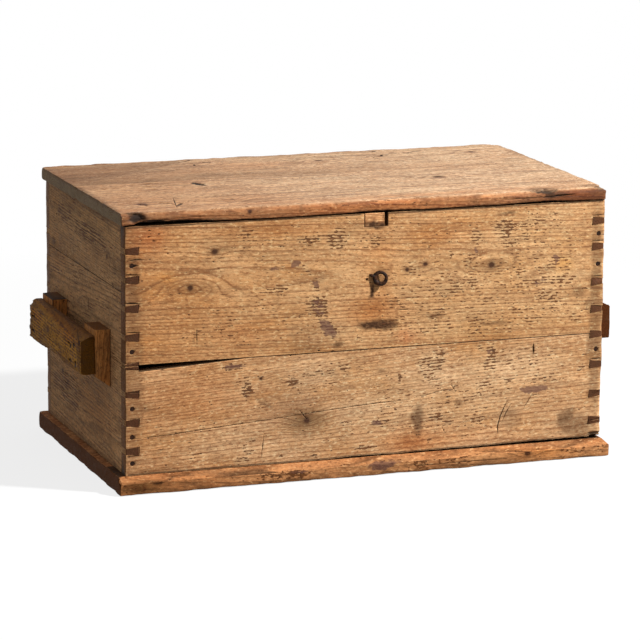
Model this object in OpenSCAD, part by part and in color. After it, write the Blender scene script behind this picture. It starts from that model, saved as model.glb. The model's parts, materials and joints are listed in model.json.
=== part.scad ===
// Old pine trunk: dovetailed carcase on projecting base boards, loose-jointed lid on two
// wrought hinges, a block-and-bar handle on each end and a forged eye staple on the front.
// Origin: middle of the footprint on the floor. +X is the right-hand end seen from the front,
// -Y is the front, +Z is up. All sizes are in millimetres.

/* [Carcase] */
// Width of the carcase across the front
body_w = 1000; // [800:5:1300]
// Depth of the carcase, front face to back face
body_d = 560; // [480:5:750]
// Height of the carcase above the base boards
body_h = 488; // [440:1:600]
// Thickness of the front and back boards
front_t = 26; // [20:1:34]
// Thickness of the side boards
side_t = 28; // [22:1:36]
// Height of the joint between the two front boards
front_joint = 217; // [200:1:230]
// Height of the joint between the two back boards
back_joint = 272; // [240:1:300]
// Height of the lower joint in the left side
left_joint_low = 216; // [190:1:240]
// Height of the upper joint in the left side
left_joint_high = 357; // [300:1:400]
// Height of the lower joint in the right side
right_joint_low = 187; // [150:1:230]
// Height of the upper joint in the right side
right_joint_high = 352; // [300:1:400]
// Opening of the shrunken front joint at the left corner
split_h = 13; // [4:1:20]
// Length over which that opening runs out
split_l = 218; // [80:1:400]

/* [Dovetails] */
// Number of pins at each corner
pin_count = 8; // [6:1:9]
// Number of pins below the one that straddles the front joint
pins_below_joint = 3; // [2:1:4]
// Height of the front joint above the middle of that pin
joint_above_pin = 1; // [-3:0.5:3]
// Height of the lowest pin, and the same distance down from the top to the highest
pin_margin = 48; // [40:1:60]
// Height of a pin at its wide inner end
pin_wide = 17; // [14:1:24]
// Height of a pin at its narrow outer end
pin_narrow = 11; // [6:1:13]

/* [Base] */
// Thickness of the base boards
base_h = 36; // [26:1:50]
// Projection of the base past the carcase all round
base_out = 15; // [13:1:30]
// Width of the front base board
base_front_w = 100; // [70:1:140]
// Width of the second base board
base_second_w = 239; // [150:1:260]
// Width of the third base board
base_third_w = 134; // [80:1:140]
// Width of the worn bevel along the front and the right end
bevel_w = 12; // [3:1:12]
// Height of that bevel
bevel_h = 13; // [3:1:18]

/* [Lid] */
// Thickness of the lid boards
lid_t = 26; // [20:1:34]
// Overhang of the lid at the front
lid_out_front = 4; // [0:1:12]
// Overhang of the lid at the back
lid_out_back = 8; // [8:1:10]
// Overhang of the lid at the left end
lid_out_left = 7; // [0:1:12]
// Width of the front lid board
lid_front_w = 131; // [110:1:180]
// Width of the middle lid board
lid_middle_w = 194; // [150:1:200]
// Rounding of the lid's top front edge
lid_round = 11; // [3:1:16]
// Distance of each batten's middle from the ends of the carcase
batten_x = 125; // [100:1:200]
// Width of a batten
batten_w = 70; // [40:1:100]
// Thickness of a batten
batten_t = 22; // [14:1:30]
// Gap between a batten's ends and the boards in front and behind
batten_gap = 14; // [8:1:30]

/* [Handles] */
// Distance from the front face to the handle's front end
handle_from_front = 97; // [60:1:120]
// Length of a handle bar
bar_l = 391; // [300:1:400]
// Thickness of a handle bar
bar_t = 30; // [20:1:40]
// Height of a handle bar
bar_h = 77; // [60:1:90]
// Height of the bar's lower edge above the carcase bottom
bar_z = 181; // [100:1:220]
// Width of the worn slope along the bar's top
bar_slope_w = 20; // [4:1:24]
// Height of that slope
bar_slope_h = 10; // [4:1:20]
// Width of a handle block along the side
block_w = 76; // [50:1:100]
// Thickness of a handle block, which is also the room for the fingers
block_t = 31; // [24:1:45]
// Height of a handle block at the wall
block_h = 115; // [100:1:130]
// Height of the block's top above the bar's top
block_above = 12; // [2:1:20]
// Rise of the slope under a block
block_slope = 22; // [4:1:24]
// Length of bar past the back block
bar_tail = 10; // [0:1:40]

/* [Hinges] */
// Place of the left hinge along the back, from the middle
left_hinge_x = -190; // [-250:1:-120]
// Place of the right hinge along the back, from the middle
right_hinge_x = 221; // [120:1:250]
// Width of a hinge leaf
leaf_w = 46; // [40:1:60]
// Thickness of a hinge leaf
leaf_t = 3; // [2:0.5:4]
// Length of the leaf on the back of the trunk, from the pin
back_leaf_l = 92; // [80:1:130]
// Length of the leaf under the lid, from the pin
lid_leaf_l = 96; // [90:1:130]
// Outer radius of the knuckles
knuckle_r = 6; // [5:0.5:6.5]
// Length of the middle knuckle, which is on the lid's leaf
middle_knuckle = 16; // [12:1:20]
// Radius of a hinge pin
hinge_pin_r = 2.5; // [2:0.1:3]
// Radius of the hammered ends of a hinge pin
pin_end_r = 4.2; // [3.5:0.1:5]
// Running clearance around a hinge pin
pin_clear = 0.08; // [0.03:0.01:0.1]

/* [Eye staple] */
// Place of the eye's centre across the front, from the middle
eye_x = 21; // [-100:1:100]
// Height of the eye's centre above the carcase bottom
eye_z = 356; // [260:1:400]
// Radius of the eye at the middle of its bar
eye_r = 12.4; // [10:0.2:18]
// Radius of the bar that the eye is forged from
eye_bar_r = 2.7; // [2:0.1:3.5]
// Distance from the front face to the middle of the eye's bar
eye_stand = 9.5; // [6.5:0.5:11]
// Radius of the shank, which is drawn down from the bar
shank_bar_r = 2.4; // [1.8:0.1:2.6]
// Tilt of the shank below level
shank_tilt = 24; // [0:1:45]
// Length of shank outside the wood
shank_l = 25; // [18:1:40]
// Length of the point clenched over inside
clench_l = 16; // [8:1:30]

/* [Patch] */
// Left edge of the let-in patch, from the middle
patch_x = -13; // [-60:1:20]
// Width of the patch
patch_w = 42; // [30:1:60]
// Height of the patch
patch_h = 27; // [15:1:31]
// Depth of the patch
patch_d = 12; // [6:1:16]
// Open slot left beside the patch
patch_slot = 6; // [1:1:10]

/* [Nails] */
// Radius of a nail's head
head_r = 4.4; // [3.5:0.1:5]
// Thickness of a nail's head
head_t = 1.6; // [1:0.1:2.5]
// Depth of a head below the wood
head_sunk = 0.6; // [0.2:0.1:1.5]
// Radius of a nail's shank
shank_r = 1.9; // [1.5:0.1:2.4]
// Clearance between a nail and its hole
nail_clear = 0.12; // [0.05:0.01:0.3]
// Length of the corner nails
corner_nail_l = 62; // [45:1:80]
// Length of the base nails
base_nail_l = 80; // [60:1:100]
// Number of base nails along the front, and along the back
base_nail_count = 6; // [2:1:9]
// Distance of the outermost of them from the ends
base_nail_end = 70; // [50:5:120]
// Distance of the base nails under the ends from the inner face of the side boards
base_nail_in = 8; // [6:0.5:8]
// Length of the handle nails
handle_nail_l = 78; // [70:1:84]
// Length of the nails in the back leaves
leaf_nail_l = 22; // [14:1:24]
// Length of the clenched points on the lid's top
lid_clench_l = 15; // [8:1:20]
// Distance that the batten nails stop short of the lid's top
batten_nail_short = 8; // [4:1:14]

/* [Hidden] */
$fn = 48;
// Half width and half depth of the carcase
half_w = body_w / 2;
half_d = body_d / 2;
// Top of the carcase, where the lid rests, and top of the lid
rim_z = base_h + body_h;
lid_top = rim_z + lid_t;
// Middle of the pin that straddles the front joint, and the spacing of the pins below and above it
joint_pin_z = front_joint - joint_above_pin;
pitch_below = (joint_pin_z - pin_margin) / pins_below_joint;
pitch_above = (body_h - pin_margin - joint_pin_z) / (pin_count - 1 - pins_below_joint);
// How far each pin at the right front corner was laid out from its even place, upwards
right_front_drift = [-10, -11, -7, -1, -5, -5, 10, 6];
// Tails that are nailed, counted from the bottom, at each corner
left_front_nailed = [0, 1, 2, 4, 7];
right_front_nailed = [3, 6, 7];
back_nailed = [0, 3, 5, 8];
// A cut runs this far past the face that it opens
past = 1;
// Running gap around the moving parts of a hinge
hinge_gap = 0.5;
// Axis of the lid: behind the back face and under the lid by half a leaf
axis_y = half_d + leaf_t / 2;
axis_z = rim_z - leaf_t / 2;
pin_end_t = 2;
// Half of the room that a hinge takes along the back
hinge_half = leaf_w / 2 + pin_end_t + 2 * hinge_gap;
// Depth of the room for a nail's head
head_room = head_t + head_sunk;
// Places of the nails in a handle bar: along it from the front end, and up from its lower edge
bar_nails = [[10, 64], [36, 14], [48, 50], [68, 46], [68, 17], [-56, 50], [-54, 19], [-20, 22]];
// Places of the nails in a lid leaf: across it, along it from the pin, and how the point lies
lid_leaf_nails = [[-15, 19.5, 35], [-15, 77.5, 75], [15, 45.5, -20]];
back_leaf_nails = [[-14, 24], [14, 50], [-10, 78]];

front_wood = "BurlyWood";
side_wood = "Tan";
base_wood = "Peru";
lid_wood = "NavajoWhite";
inside_wood = "Wheat";
dark_iron = "DimGray";

// Height of pin k above the carcase bottom; side is -1 left or 1 right, end -1 front or 1 back
function pin_z(k, side, end) =
  joint_pin_z + (k - pins_below_joint) * (k < pins_below_joint ? pitch_below : pitch_above)
  + (side > 0 && end < 0 && k < len(right_front_drift) ? right_front_drift[k] : 0);

// Height of the middle of tail k at a corner
function tail_z(k, side, end) =
  let (low = k == 0 ? 0 : pin_z(k - 1, side, end),
       high = k >= pin_count ? body_h : pin_z(k, side, end))
  (low + high) / 2;

// A straight-sided block given by its lowest and highest corners
module block(low, high) {
  translate(low) cube(high - low);
}

// Everything between two heights above the carcase bottom
module layer(z0, z1) {
  block([-body_w, -body_d, base_h + z0], [body_w, body_d, base_h + z1]);
}

// The row of pins at one corner; over lengthens them past the faces that they cut
module pin_row(side, end, over = 0) {
  slope = (pin_wide - pin_narrow) / 2 / side_t;
  outer = pin_narrow / 2 - slope * over;
  inner = pin_wide / 2;
  y_outer = end * (half_d + over);
  y_inner = end * (half_d - front_t - over);
  for (k = [0 : pin_count - 1])
    translate([0, max(y_outer, y_inner), base_h + pin_z(k, side, end)])
      rotate([90, 0, 0])
        linear_extrude(height = abs(y_outer - y_inner))
          polygon([
            [side * (half_w + over), -outer], [side * (half_w - side_t), -inner],
            [side * (half_w - side_t), inner], [side * (half_w + over), outer]
          ]);
}

// One nail, driven along +Z from a face at z = 0: head, shank and the hole for both
module nail(length) {
  translate([0, 0, head_sunk]) cylinder(r = head_r, h = head_t);
  translate([0, 0, head_sunk]) cylinder(r = shank_r, h = length);
}

module nail_hole(length) {
  translate([0, 0, -past]) cylinder(r = head_r + nail_clear, h = head_room + past);
  cylinder(r = shank_r + nail_clear, h = head_sunk + length + nail_clear);
}

// Corner nails through the tails of the front (end -1) or the back (end 1)
module at_corner_nails(end) {
  for (side = [-1, 1]) {
    tails = end > 0 ? back_nailed : side < 0 ? left_front_nailed : right_front_nailed;
    for (k = tails)
      if (k <= pin_count)
        translate([side * (half_w - side_t / 2), end * half_d, base_h + tail_z(k, side, end)])
          rotate([end * 90, 0, 0])
            children();
  }
}

// Base nails up into the edges of the four walls; two in the widest board's ends, one in others
module at_base_nails() {
  first = base_nail_end - half_w;
  step = (body_w - 2 * base_nail_end) / (base_nail_count - 1);
  for (i = [0 : base_nail_count - 1], end = [-1, 1])
    translate([first + i * step, end * (half_d - front_t / 2), 0]) children();
  for (side = [-1, 1], y = [
    (base_y1 - base_d2) / 2,
    base_y1 + base_second_w / 4, base_y2 - base_second_w / 4,
    (base_y2 + base_y3) / 2,
    (base_y3 + base_d2) / 2
  ])
    translate([side * (half_w - side_t + base_nail_in), y, 0]) children();
}

// Front end, back end and lower edge of the handles
bar_y0 = -half_d + handle_from_front;
bar_y1 = bar_y0 + bar_l;
bar_z0 = base_h + bar_z;
bar_z1 = bar_z0 + bar_h;
bar_x = half_w + block_t + bar_t;

// Handle nails, through a bar and its block into the side
module at_handle_nails(side) {
  for (place = bar_nails)
    translate([
      side * bar_x,
      place[0] > 0 ? bar_y0 + place[0] : bar_y1 + place[0],
      bar_z0 + place[1]
    ])
      rotate([0, -side * 90, 0])
        children();
}

// Nails that hold the battens, two to each lid board, driven from below
module at_batten_nails(side) {
  edges = [lid_y0, lid_y0 + lid_front_w, lid_y0 + lid_front_w + lid_middle_w, lid_y1];
  for (i = [0 : 2], part = [0.35, 0.7])
    translate([
      side * (half_w - batten_x) + (part < 0.5 ? -1 : 1) * batten_w / 4,
      edges[i] + part * (edges[i + 1] - edges[i]),
      rim_z - batten_t
    ])
      children();
}

module at_back_leaf_nails(x) {
  for (place = back_leaf_nails)
    translate([x + place[0], half_d + leaf_t, axis_z - place[1]])
      rotate([90, 0, 0])
        children();
}

// Places of the lid leaf's nails on the leaf's underside; $point is how the point lies on top
module at_lid_leaf_nails(x) {
  for (place = lid_leaf_nails)
    translate([x + place[0], axis_y - place[1], rim_z - leaf_t]) {
      $point = place[2];
      children();
    }
}

/* Walls */

module wall_board(end, z0, z1) {
  difference() {
    block(
      [-half_w, end < 0 ? -half_d : half_d - front_t, base_h + z0],
      [half_w, end < 0 ? -half_d + front_t : half_d, base_h + z1]
    );
    for (side = [-1, 1]) pin_row(side, end, past);
    at_corner_nails(end) nail_hole(corner_nail_l);
    at_base_nails() nail_hole(base_nail_l);
  }
}

module side_board(side, z0, z1) {
  difference() {
    intersection() {
      union() {
        block(
          [side < 0 ? -half_w : half_w - side_t, -half_d + front_t, base_h],
          [side < 0 ? -half_w + side_t : half_w, half_d - front_t, rim_z]
        );
        for (end = [-1, 1]) pin_row(side, end);
      }
      layer(z0, z1);
    }
    for (end = [-1, 1]) at_corner_nails(end) nail_hole(corner_nail_l);
    at_base_nails() nail_hole(base_nail_l);
    at_handle_nails(side) nail_hole(handle_nail_l);
  }
}

module front_upper_board() {
  color(front_wood)
    difference() {
      wall_board(-1, front_joint, body_h);
      block(
        [patch_x, -half_d - past, rim_z - patch_h],
        [patch_x + patch_w + patch_slot, -half_d + patch_d, rim_z + past]
      );
      staple_hole();
    }
}

module front_lower_board() {
  corner_x = -half_w + side_t;
  color(front_wood)
    difference() {
      wall_board(-1, 0, front_joint);
      // The joint has opened at the left corner, where the lower board has shrunk away
      translate([0, -half_d + front_t + past, base_h + front_joint])
        rotate([90, 0, 0])
          linear_extrude(height = front_t + 2 * past)
            polygon([
              [corner_x, past], [corner_x, -split_h],
              [corner_x + split_l, 0], [corner_x + split_l, past]
            ]);
    }
}

module front_patch() {
  color(front_wood)
    block([patch_x, -half_d, rim_z - patch_h], [patch_x + patch_w, -half_d + patch_d, rim_z]);
}

// Room in the top edge of the back for a lid leaf and the knuckles
module hinge_notch(x) {
  block(
    [x - leaf_w / 2 - hinge_gap, half_d - front_t - past, rim_z - leaf_t - hinge_gap],
    [x + leaf_w / 2 + hinge_gap, half_d + past, rim_z + past]
  );
  block(
    [x - hinge_half, axis_y - knuckle_r - hinge_gap, axis_z - knuckle_r - hinge_gap],
    [x + hinge_half, half_d + past, rim_z + past]
  );
}

module back_upper_board() {
  color(front_wood)
    difference() {
      wall_board(1, back_joint, body_h);
      for (x = [left_hinge_x, right_hinge_x]) {
        hinge_notch(x);
        at_back_leaf_nails(x) nail_hole(leaf_nail_l);
      }
    }
}

module back_lower_board() {
  color(front_wood) wall_board(1, 0, back_joint);
}

module left_side_upper_board() { color(side_wood) side_board(-1, left_joint_high, body_h); }
module left_side_middle_board() { color(side_wood) side_board(-1, left_joint_low, left_joint_high); }
module left_side_lower_board() { color(side_wood) side_board(-1, 0, left_joint_low); }
module right_side_upper_board() { color(side_wood) side_board(1, right_joint_high, body_h); }
module right_side_middle_board() { color(side_wood) side_board(1, right_joint_low, right_joint_high); }
module right_side_lower_board() { color(side_wood) side_board(1, 0, right_joint_low); }

/* Base */

base_w2 = half_w + base_out;
base_d2 = half_d + base_out;
base_y1 = -base_d2 + base_front_w;
base_y2 = base_y1 + base_second_w;
base_y3 = base_y2 + base_third_w;

// The bevel worn along the right end of every base board
module end_bevel() {
  translate([base_w2, base_d2 + past, base_h])
    rotate([90, 0, 0])
      linear_extrude(height = 2 * (base_d2 + past))
        polygon([[-bevel_w, past], [-bevel_w, 0], [0, -bevel_h], [past, -bevel_h], [past, past]]);
}

// The bevel along the front edge
module front_bevel() {
  translate([-base_w2 - past, -base_d2, base_h])
    rotate([90, 0, 90])
      linear_extrude(height = 2 * (base_w2 + past))
        polygon([[bevel_w, past], [bevel_w, 0], [0, -bevel_h], [-past, -bevel_h], [-past, past]]);
}

module base_board(y0, y1) {
  color(base_wood)
    difference() {
      block([-base_w2, y0, 0], [base_w2, y1, base_h]);
      end_bevel();
      front_bevel();
      at_base_nails() nail_hole(base_nail_l);
    }
}

module base_front_board() { base_board(-base_d2, base_y1); }
module base_second_board() { base_board(base_y1, base_y2); }
module base_third_board() { base_board(base_y2, base_y3); }
module base_back_board() { base_board(base_y3, base_d2); }

/* Lid */

lid_y0 = -half_d - lid_out_front;
lid_y1 = half_d + lid_out_back;
lid_x0 = -half_w - lid_out_left;

// Room under the lid's back edge for the knuckles
module knuckle_room(x) {
  block(
    [x - hinge_half, axis_y - knuckle_r - hinge_gap, rim_z - past],
    [x + hinge_half, lid_y1 + past, axis_z + knuckle_r + hinge_gap]
  );
}

// Hole and sunk slot on top for one clenched nail of a lid leaf
module lid_nail_hole() {
  cylinder(r = shank_r + nail_clear, h = leaf_t + lid_t + past);
  translate([0, 0, leaf_t + lid_t - 2 * shank_r])
    rotate([0, 0, $point])
      block(
        [-shank_r - nail_clear, -shank_r - nail_clear, 0],
        [lid_clench_l + nail_clear, shank_r + nail_clear, 2 * shank_r + past]
      );
}

module lid_board(y0, y1) {
  color(lid_wood)
    difference() {
      block([lid_x0, y0, rim_z], [half_w, y1, lid_top]);
      for (x = [left_hinge_x, right_hinge_x]) {
        knuckle_room(x);
        at_lid_leaf_nails(x) lid_nail_hole();
      }
      for (side = [-1, 1]) at_batten_nails(side) nail_hole(batten_nail_l);
    }
}

module lid_front_board() {
  color(lid_wood)
    difference() {
      lid_board(lid_y0, lid_y0 + lid_front_w);
      // Rounded top front edge
      difference() {
        block(
          [lid_x0 - past, lid_y0 - past, lid_top - lid_round],
          [half_w + past, lid_y0 + lid_round, lid_top + past]
        );
        translate([lid_x0 - 2 * past, lid_y0 + lid_round, lid_top - lid_round])
          rotate([0, 90, 0])
            cylinder(r = lid_round, h = body_w + lid_out_left + 4 * past);
      }
    }
}

module lid_middle_board() {
  lid_board(lid_y0 + lid_front_w, lid_y0 + lid_front_w + lid_middle_w);
}

module lid_back_board() {
  lid_board(lid_y0 + lid_front_w + lid_middle_w, lid_y1);
}

module batten(side) {
  middle = side * (half_w - batten_x);
  color(inside_wood)
    difference() {
      block(
        [middle - batten_w / 2, -half_d + front_t + batten_gap, rim_z - batten_t],
        [middle + batten_w / 2, half_d - front_t - batten_gap, rim_z]
      );
      at_batten_nails(side) nail_hole(batten_nail_l);
    }
}

module lid_left_batten() { batten(-1); }
module lid_right_batten() { batten(1); }

/* Handles */

module handle_bar(side) {
  color(side_wood)
    difference() {
      block(
        [side < 0 ? -bar_x : bar_x - bar_t, bar_y0, bar_z0],
        [side < 0 ? -bar_x + bar_t : bar_x, bar_y1, bar_z1]
      );
      translate([side * bar_x, bar_y1 + past, bar_z1])
        rotate([90, 0, 0])
          linear_extrude(height = bar_l + 2 * past)
            polygon([
              [-side * bar_slope_w, past], [-side * bar_slope_w, 0],
              [0, -bar_slope_h], [side * past, -bar_slope_h], [side * past, past]
            ]);
      at_handle_nails(side) nail_hole(handle_nail_l);
    }
}

// A block whose underside slopes up from the wall to its outer face
module handle_block(side, y0) {
  top = bar_z1 + block_above;
  color(side_wood)
    difference() {
      translate([side * half_w, y0 + block_w, 0])
        rotate([90, 0, 0])
          linear_extrude(height = block_w)
            polygon([
              [0, top - block_h], [side * block_t, top - block_h + block_slope],
              [side * block_t, top], [0, top]
            ]);
      at_handle_nails(side) nail_hole(handle_nail_l);
    }
}

front_block_y = bar_y0;
back_block_y = bar_y1 - bar_tail - block_w;

module left_handle_bar() { handle_bar(-1); }
module left_handle_front_block() { handle_block(-1, front_block_y); }
module left_handle_back_block() { handle_block(-1, back_block_y); }
module right_handle_bar() { handle_bar(1); }
module right_handle_front_block() { handle_block(1, front_block_y); }
module right_handle_back_block() { handle_block(1, back_block_y); }

/* Hinges */

side_knuckle = (leaf_w - middle_knuckle) / 2 - hinge_gap;

module along_pin(x, length) {
  translate([x, axis_y, axis_z]) rotate([0, 90, 0]) cylinder(r = knuckle_r, h = length);
}

module pin_bore(x) {
  translate([x - leaf_w / 2 - past, axis_y, axis_z])
    rotate([0, 90, 0])
      cylinder(r = hinge_pin_r + pin_clear, h = leaf_w + 2 * past);
}

// The leaf nailed to the back, with the two outer knuckles
module back_leaf(x) {
  color(dark_iron)
    difference() {
      union() {
        block(
          [x - leaf_w / 2, half_d, axis_z - back_leaf_l],
          [x + leaf_w / 2, half_d + leaf_t, axis_z - knuckle_r - hinge_gap]
        );
        for (x0 = [x - leaf_w / 2, x + leaf_w / 2 - side_knuckle]) {
          along_pin(x0, side_knuckle);
          block(
            [x0, half_d, axis_z - knuckle_r - 2 * hinge_gap],
            [x0 + side_knuckle, half_d + leaf_t, axis_z]
          );
        }
      }
      pin_bore(x);
      at_back_leaf_nails(x) nail_hole(leaf_nail_l);
    }
}

// The leaf under the lid, with the middle knuckle
module lid_leaf(x) {
  color(dark_iron)
    difference() {
      union() {
        block(
          [x - leaf_w / 2, axis_y - lid_leaf_l, rim_z - leaf_t],
          [x + leaf_w / 2, axis_y - knuckle_r - hinge_gap, rim_z]
        );
        along_pin(x - middle_knuckle / 2, middle_knuckle);
        block(
          [x - middle_knuckle / 2, axis_y - knuckle_r - 2 * hinge_gap, rim_z - leaf_t],
          [x + middle_knuckle / 2, axis_y, rim_z]
        );
      }
      pin_bore(x);
      at_lid_leaf_nails(x) nail_hole(leaf_t);
    }
}

module hinge_pin(x) {
  reach = leaf_w / 2 + hinge_gap;
  color(dark_iron)
    translate([x, axis_y, axis_z])
      rotate([0, 90, 0]) {
        translate([0, 0, -reach]) cylinder(r = hinge_pin_r, h = 2 * reach);
        for (side = [-1, 1])
          translate([0, 0, side * (reach + pin_end_t / 2) - pin_end_t / 2])
            cylinder(r = pin_end_r, h = pin_end_t);
      }
}

module left_hinge_back_leaf() { back_leaf(left_hinge_x); }
module left_hinge_lid_leaf() { lid_leaf(left_hinge_x); }
module left_hinge_pin() { hinge_pin(left_hinge_x); }
module right_hinge_back_leaf() { back_leaf(right_hinge_x); }
module right_hinge_lid_leaf() { lid_leaf(right_hinge_x); }
module right_hinge_pin() { hinge_pin(right_hinge_x); }

/* Eye staple */

// Where the shank turns into the wood, seen from the eye's centre
foot_x = -eye_r * sin(shank_tilt) - shank_l * cos(shank_tilt);
foot_z = eye_r * cos(shank_tilt) - shank_l * sin(shank_tilt);
// A bend in the shank is a little fuller than the shank, and the shank lies off the wood
bend_more = 0.3;
shank_off = 0.2;
bend_r = shank_bar_r + bend_more;
foot_off = bend_r + shank_off;

module rod(from, to) {
  run = to - from;
  length = norm(run);
  translate(from)
    rotate([0, acos(run[2] / length), atan2(run[1], run[0])])
      cylinder(r = shank_bar_r, h = length);
}

module at_eye() {
  translate([eye_x, -half_d, base_h + eye_z]) children();
}

module staple_hole() {
  at_eye()
    translate([foot_x, -past, foot_z])
      rotate([-90, 0, 0])
        cylinder(r = shank_bar_r + nail_clear, h = front_t + 2 * past);
}

module eye_staple() {
  foot = [foot_x, -foot_off, foot_z];
  inside = [foot_x, front_t + foot_off, foot_z];
  color(dark_iron)
    at_eye() {
      translate([0, -eye_stand, 0])
        rotate([90, 0, 0])
          rotate_extrude()
            translate([eye_r, 0]) circle(r = eye_bar_r);
      rod([-eye_r * sin(shank_tilt), -eye_stand, eye_r * cos(shank_tilt)], foot);
      rod(foot, inside);
      rod(inside, inside - [clench_l, 0, 0]);
      for (bend = [foot, inside]) translate(bend) sphere(r = bend_r);
    }
}

/* Nails */

module front_corner_nails() { color(dark_iron) at_corner_nails(-1) nail(corner_nail_l); }
module back_corner_nails() { color(dark_iron) at_corner_nails(1) nail(corner_nail_l); }
module base_nails() { color(dark_iron) at_base_nails() nail(base_nail_l); }

module handle_nails() {
  color(dark_iron)
    for (side = [-1, 1]) at_handle_nails(side) nail(handle_nail_l);
}

module back_leaf_nails() {
  color(dark_iron)
    for (x = [left_hinge_x, right_hinge_x]) at_back_leaf_nails(x) nail(leaf_nail_l);
}

batten_nail_l = batten_t + lid_t - batten_nail_short;

module batten_nails() {
  color(dark_iron)
    for (side = [-1, 1]) at_batten_nails(side) nail(batten_nail_l);
}

// Driven up through a lid leaf; the point is bent over and sunk into the lid's top
module lid_leaf_nails() {
  color(dark_iron)
    for (x = [left_hinge_x, right_hinge_x])
      at_lid_leaf_nails(x) {
        nail(leaf_t + lid_t - head_sunk - shank_r);
        translate([0, 0, leaf_t + lid_t - 2 * shank_r])
          rotate([0, 0, $point])
            block([-shank_r, -shank_r, 0], [lid_clench_l, shank_r, 2 * shank_r - nail_clear]);
      }
}

front_upper_board();
front_lower_board();
front_patch();
back_upper_board();
back_lower_board();
left_side_upper_board();
left_side_middle_board();
left_side_lower_board();
right_side_upper_board();
right_side_middle_board();
right_side_lower_board();
base_front_board();
base_second_board();
base_third_board();
base_back_board();
lid_front_board();
lid_middle_board();
lid_back_board();
lid_left_batten();
lid_right_batten();
left_handle_bar();
left_handle_front_block();
left_handle_back_block();
right_handle_bar();
right_handle_front_block();
right_handle_back_block();
left_hinge_back_leaf();
left_hinge_lid_leaf();
left_hinge_pin();
right_hinge_back_leaf();
right_hinge_lid_leaf();
right_hinge_pin();
eye_staple();
front_corner_nails();
back_corner_nails();
base_nails();
handle_nails();
back_leaf_nails();
lid_leaf_nails();
batten_nails();
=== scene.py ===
import json
import math

import bmesh
import bpy
import numpy as np
from mathutils import Matrix, Vector

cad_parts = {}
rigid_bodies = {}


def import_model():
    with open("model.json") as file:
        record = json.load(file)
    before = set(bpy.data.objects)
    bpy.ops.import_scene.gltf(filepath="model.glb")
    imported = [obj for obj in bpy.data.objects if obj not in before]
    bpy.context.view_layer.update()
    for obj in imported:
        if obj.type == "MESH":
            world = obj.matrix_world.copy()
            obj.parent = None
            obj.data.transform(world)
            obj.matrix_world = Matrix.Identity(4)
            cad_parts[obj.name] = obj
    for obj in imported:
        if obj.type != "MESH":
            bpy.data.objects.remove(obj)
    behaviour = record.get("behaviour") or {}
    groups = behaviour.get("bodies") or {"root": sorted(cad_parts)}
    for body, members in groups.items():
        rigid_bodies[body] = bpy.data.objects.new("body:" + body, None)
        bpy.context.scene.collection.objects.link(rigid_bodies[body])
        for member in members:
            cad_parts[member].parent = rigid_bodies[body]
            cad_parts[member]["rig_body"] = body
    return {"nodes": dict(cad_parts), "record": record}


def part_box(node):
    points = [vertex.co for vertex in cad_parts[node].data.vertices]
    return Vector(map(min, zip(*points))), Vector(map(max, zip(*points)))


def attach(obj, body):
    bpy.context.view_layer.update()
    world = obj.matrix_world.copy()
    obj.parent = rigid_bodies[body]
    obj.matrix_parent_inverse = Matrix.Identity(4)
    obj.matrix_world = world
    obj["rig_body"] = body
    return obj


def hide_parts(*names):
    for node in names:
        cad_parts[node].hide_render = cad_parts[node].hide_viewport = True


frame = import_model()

scene = bpy.context.scene
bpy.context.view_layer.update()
print("frame loaded:", len(frame["nodes"]), "nodes")

# Every place below is in millimetres from the carcase's left front corner on the floor: x to the
# right, y to the back and z up.
corner = np.array([500.0, 280.0, 0.0])


def hexColour(code):
    # sRGB hex to the linear values that Blender's sockets take
    parts = [int(code[i:i + 2], 16) / 255 for i in (1, 3, 5)]
    return [c / 12.92 if c <= 0.04045 else ((c + 0.055) / 1.055) ** 2.4 for c in parts] + [1.0]


def addNode(tree, kind, settings=None, links=None, out=0):
    # lower-case keys are properties, numbers and capitalised keys are input sockets
    node = tree.nodes.new("ShaderNode" + kind)
    for key, value in (settings or {}).items():
        if key == "stops":
            ramp = node.color_ramp.elements
            ramp.remove(ramp[1])
            for place, colour in value:
                stop = ramp[0] if place == value[0][0] else ramp.new(place)
                stop.position = place
                stop.color = colour if isinstance(colour, list) else [colour, colour, colour, 1.0]
        elif isinstance(key, int) or key[0].isupper():
            node.inputs[key].default_value = value
        else:
            setattr(node, key, value)
    for key, source in (links or {}).items():
        tree.links.new(source, node.inputs[key])
    return node.outputs[out] if node.outputs else node


def waves(points, size, seed, count=14):
    # smooth, seeded unevenness with a swell of about this many mm, mostly between -1 and 1
    rng = np.random.default_rng(seed)
    ways = rng.normal(size=(count, 3))
    ways *= (rng.uniform(0.6, 1.5, count) * 2 * math.pi / size / np.linalg.norm(ways, axis=1))[:, None]
    total = np.cos(points @ ways.T + rng.uniform(0, 2 * math.pi, count)).sum(1)
    return total / math.sqrt(count) * 0.9


def fade(value, start, end):
    t = np.clip((value - start) / (end - start), 0.0, 1.0)
    return t * t * (3 - 2 * t)


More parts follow.
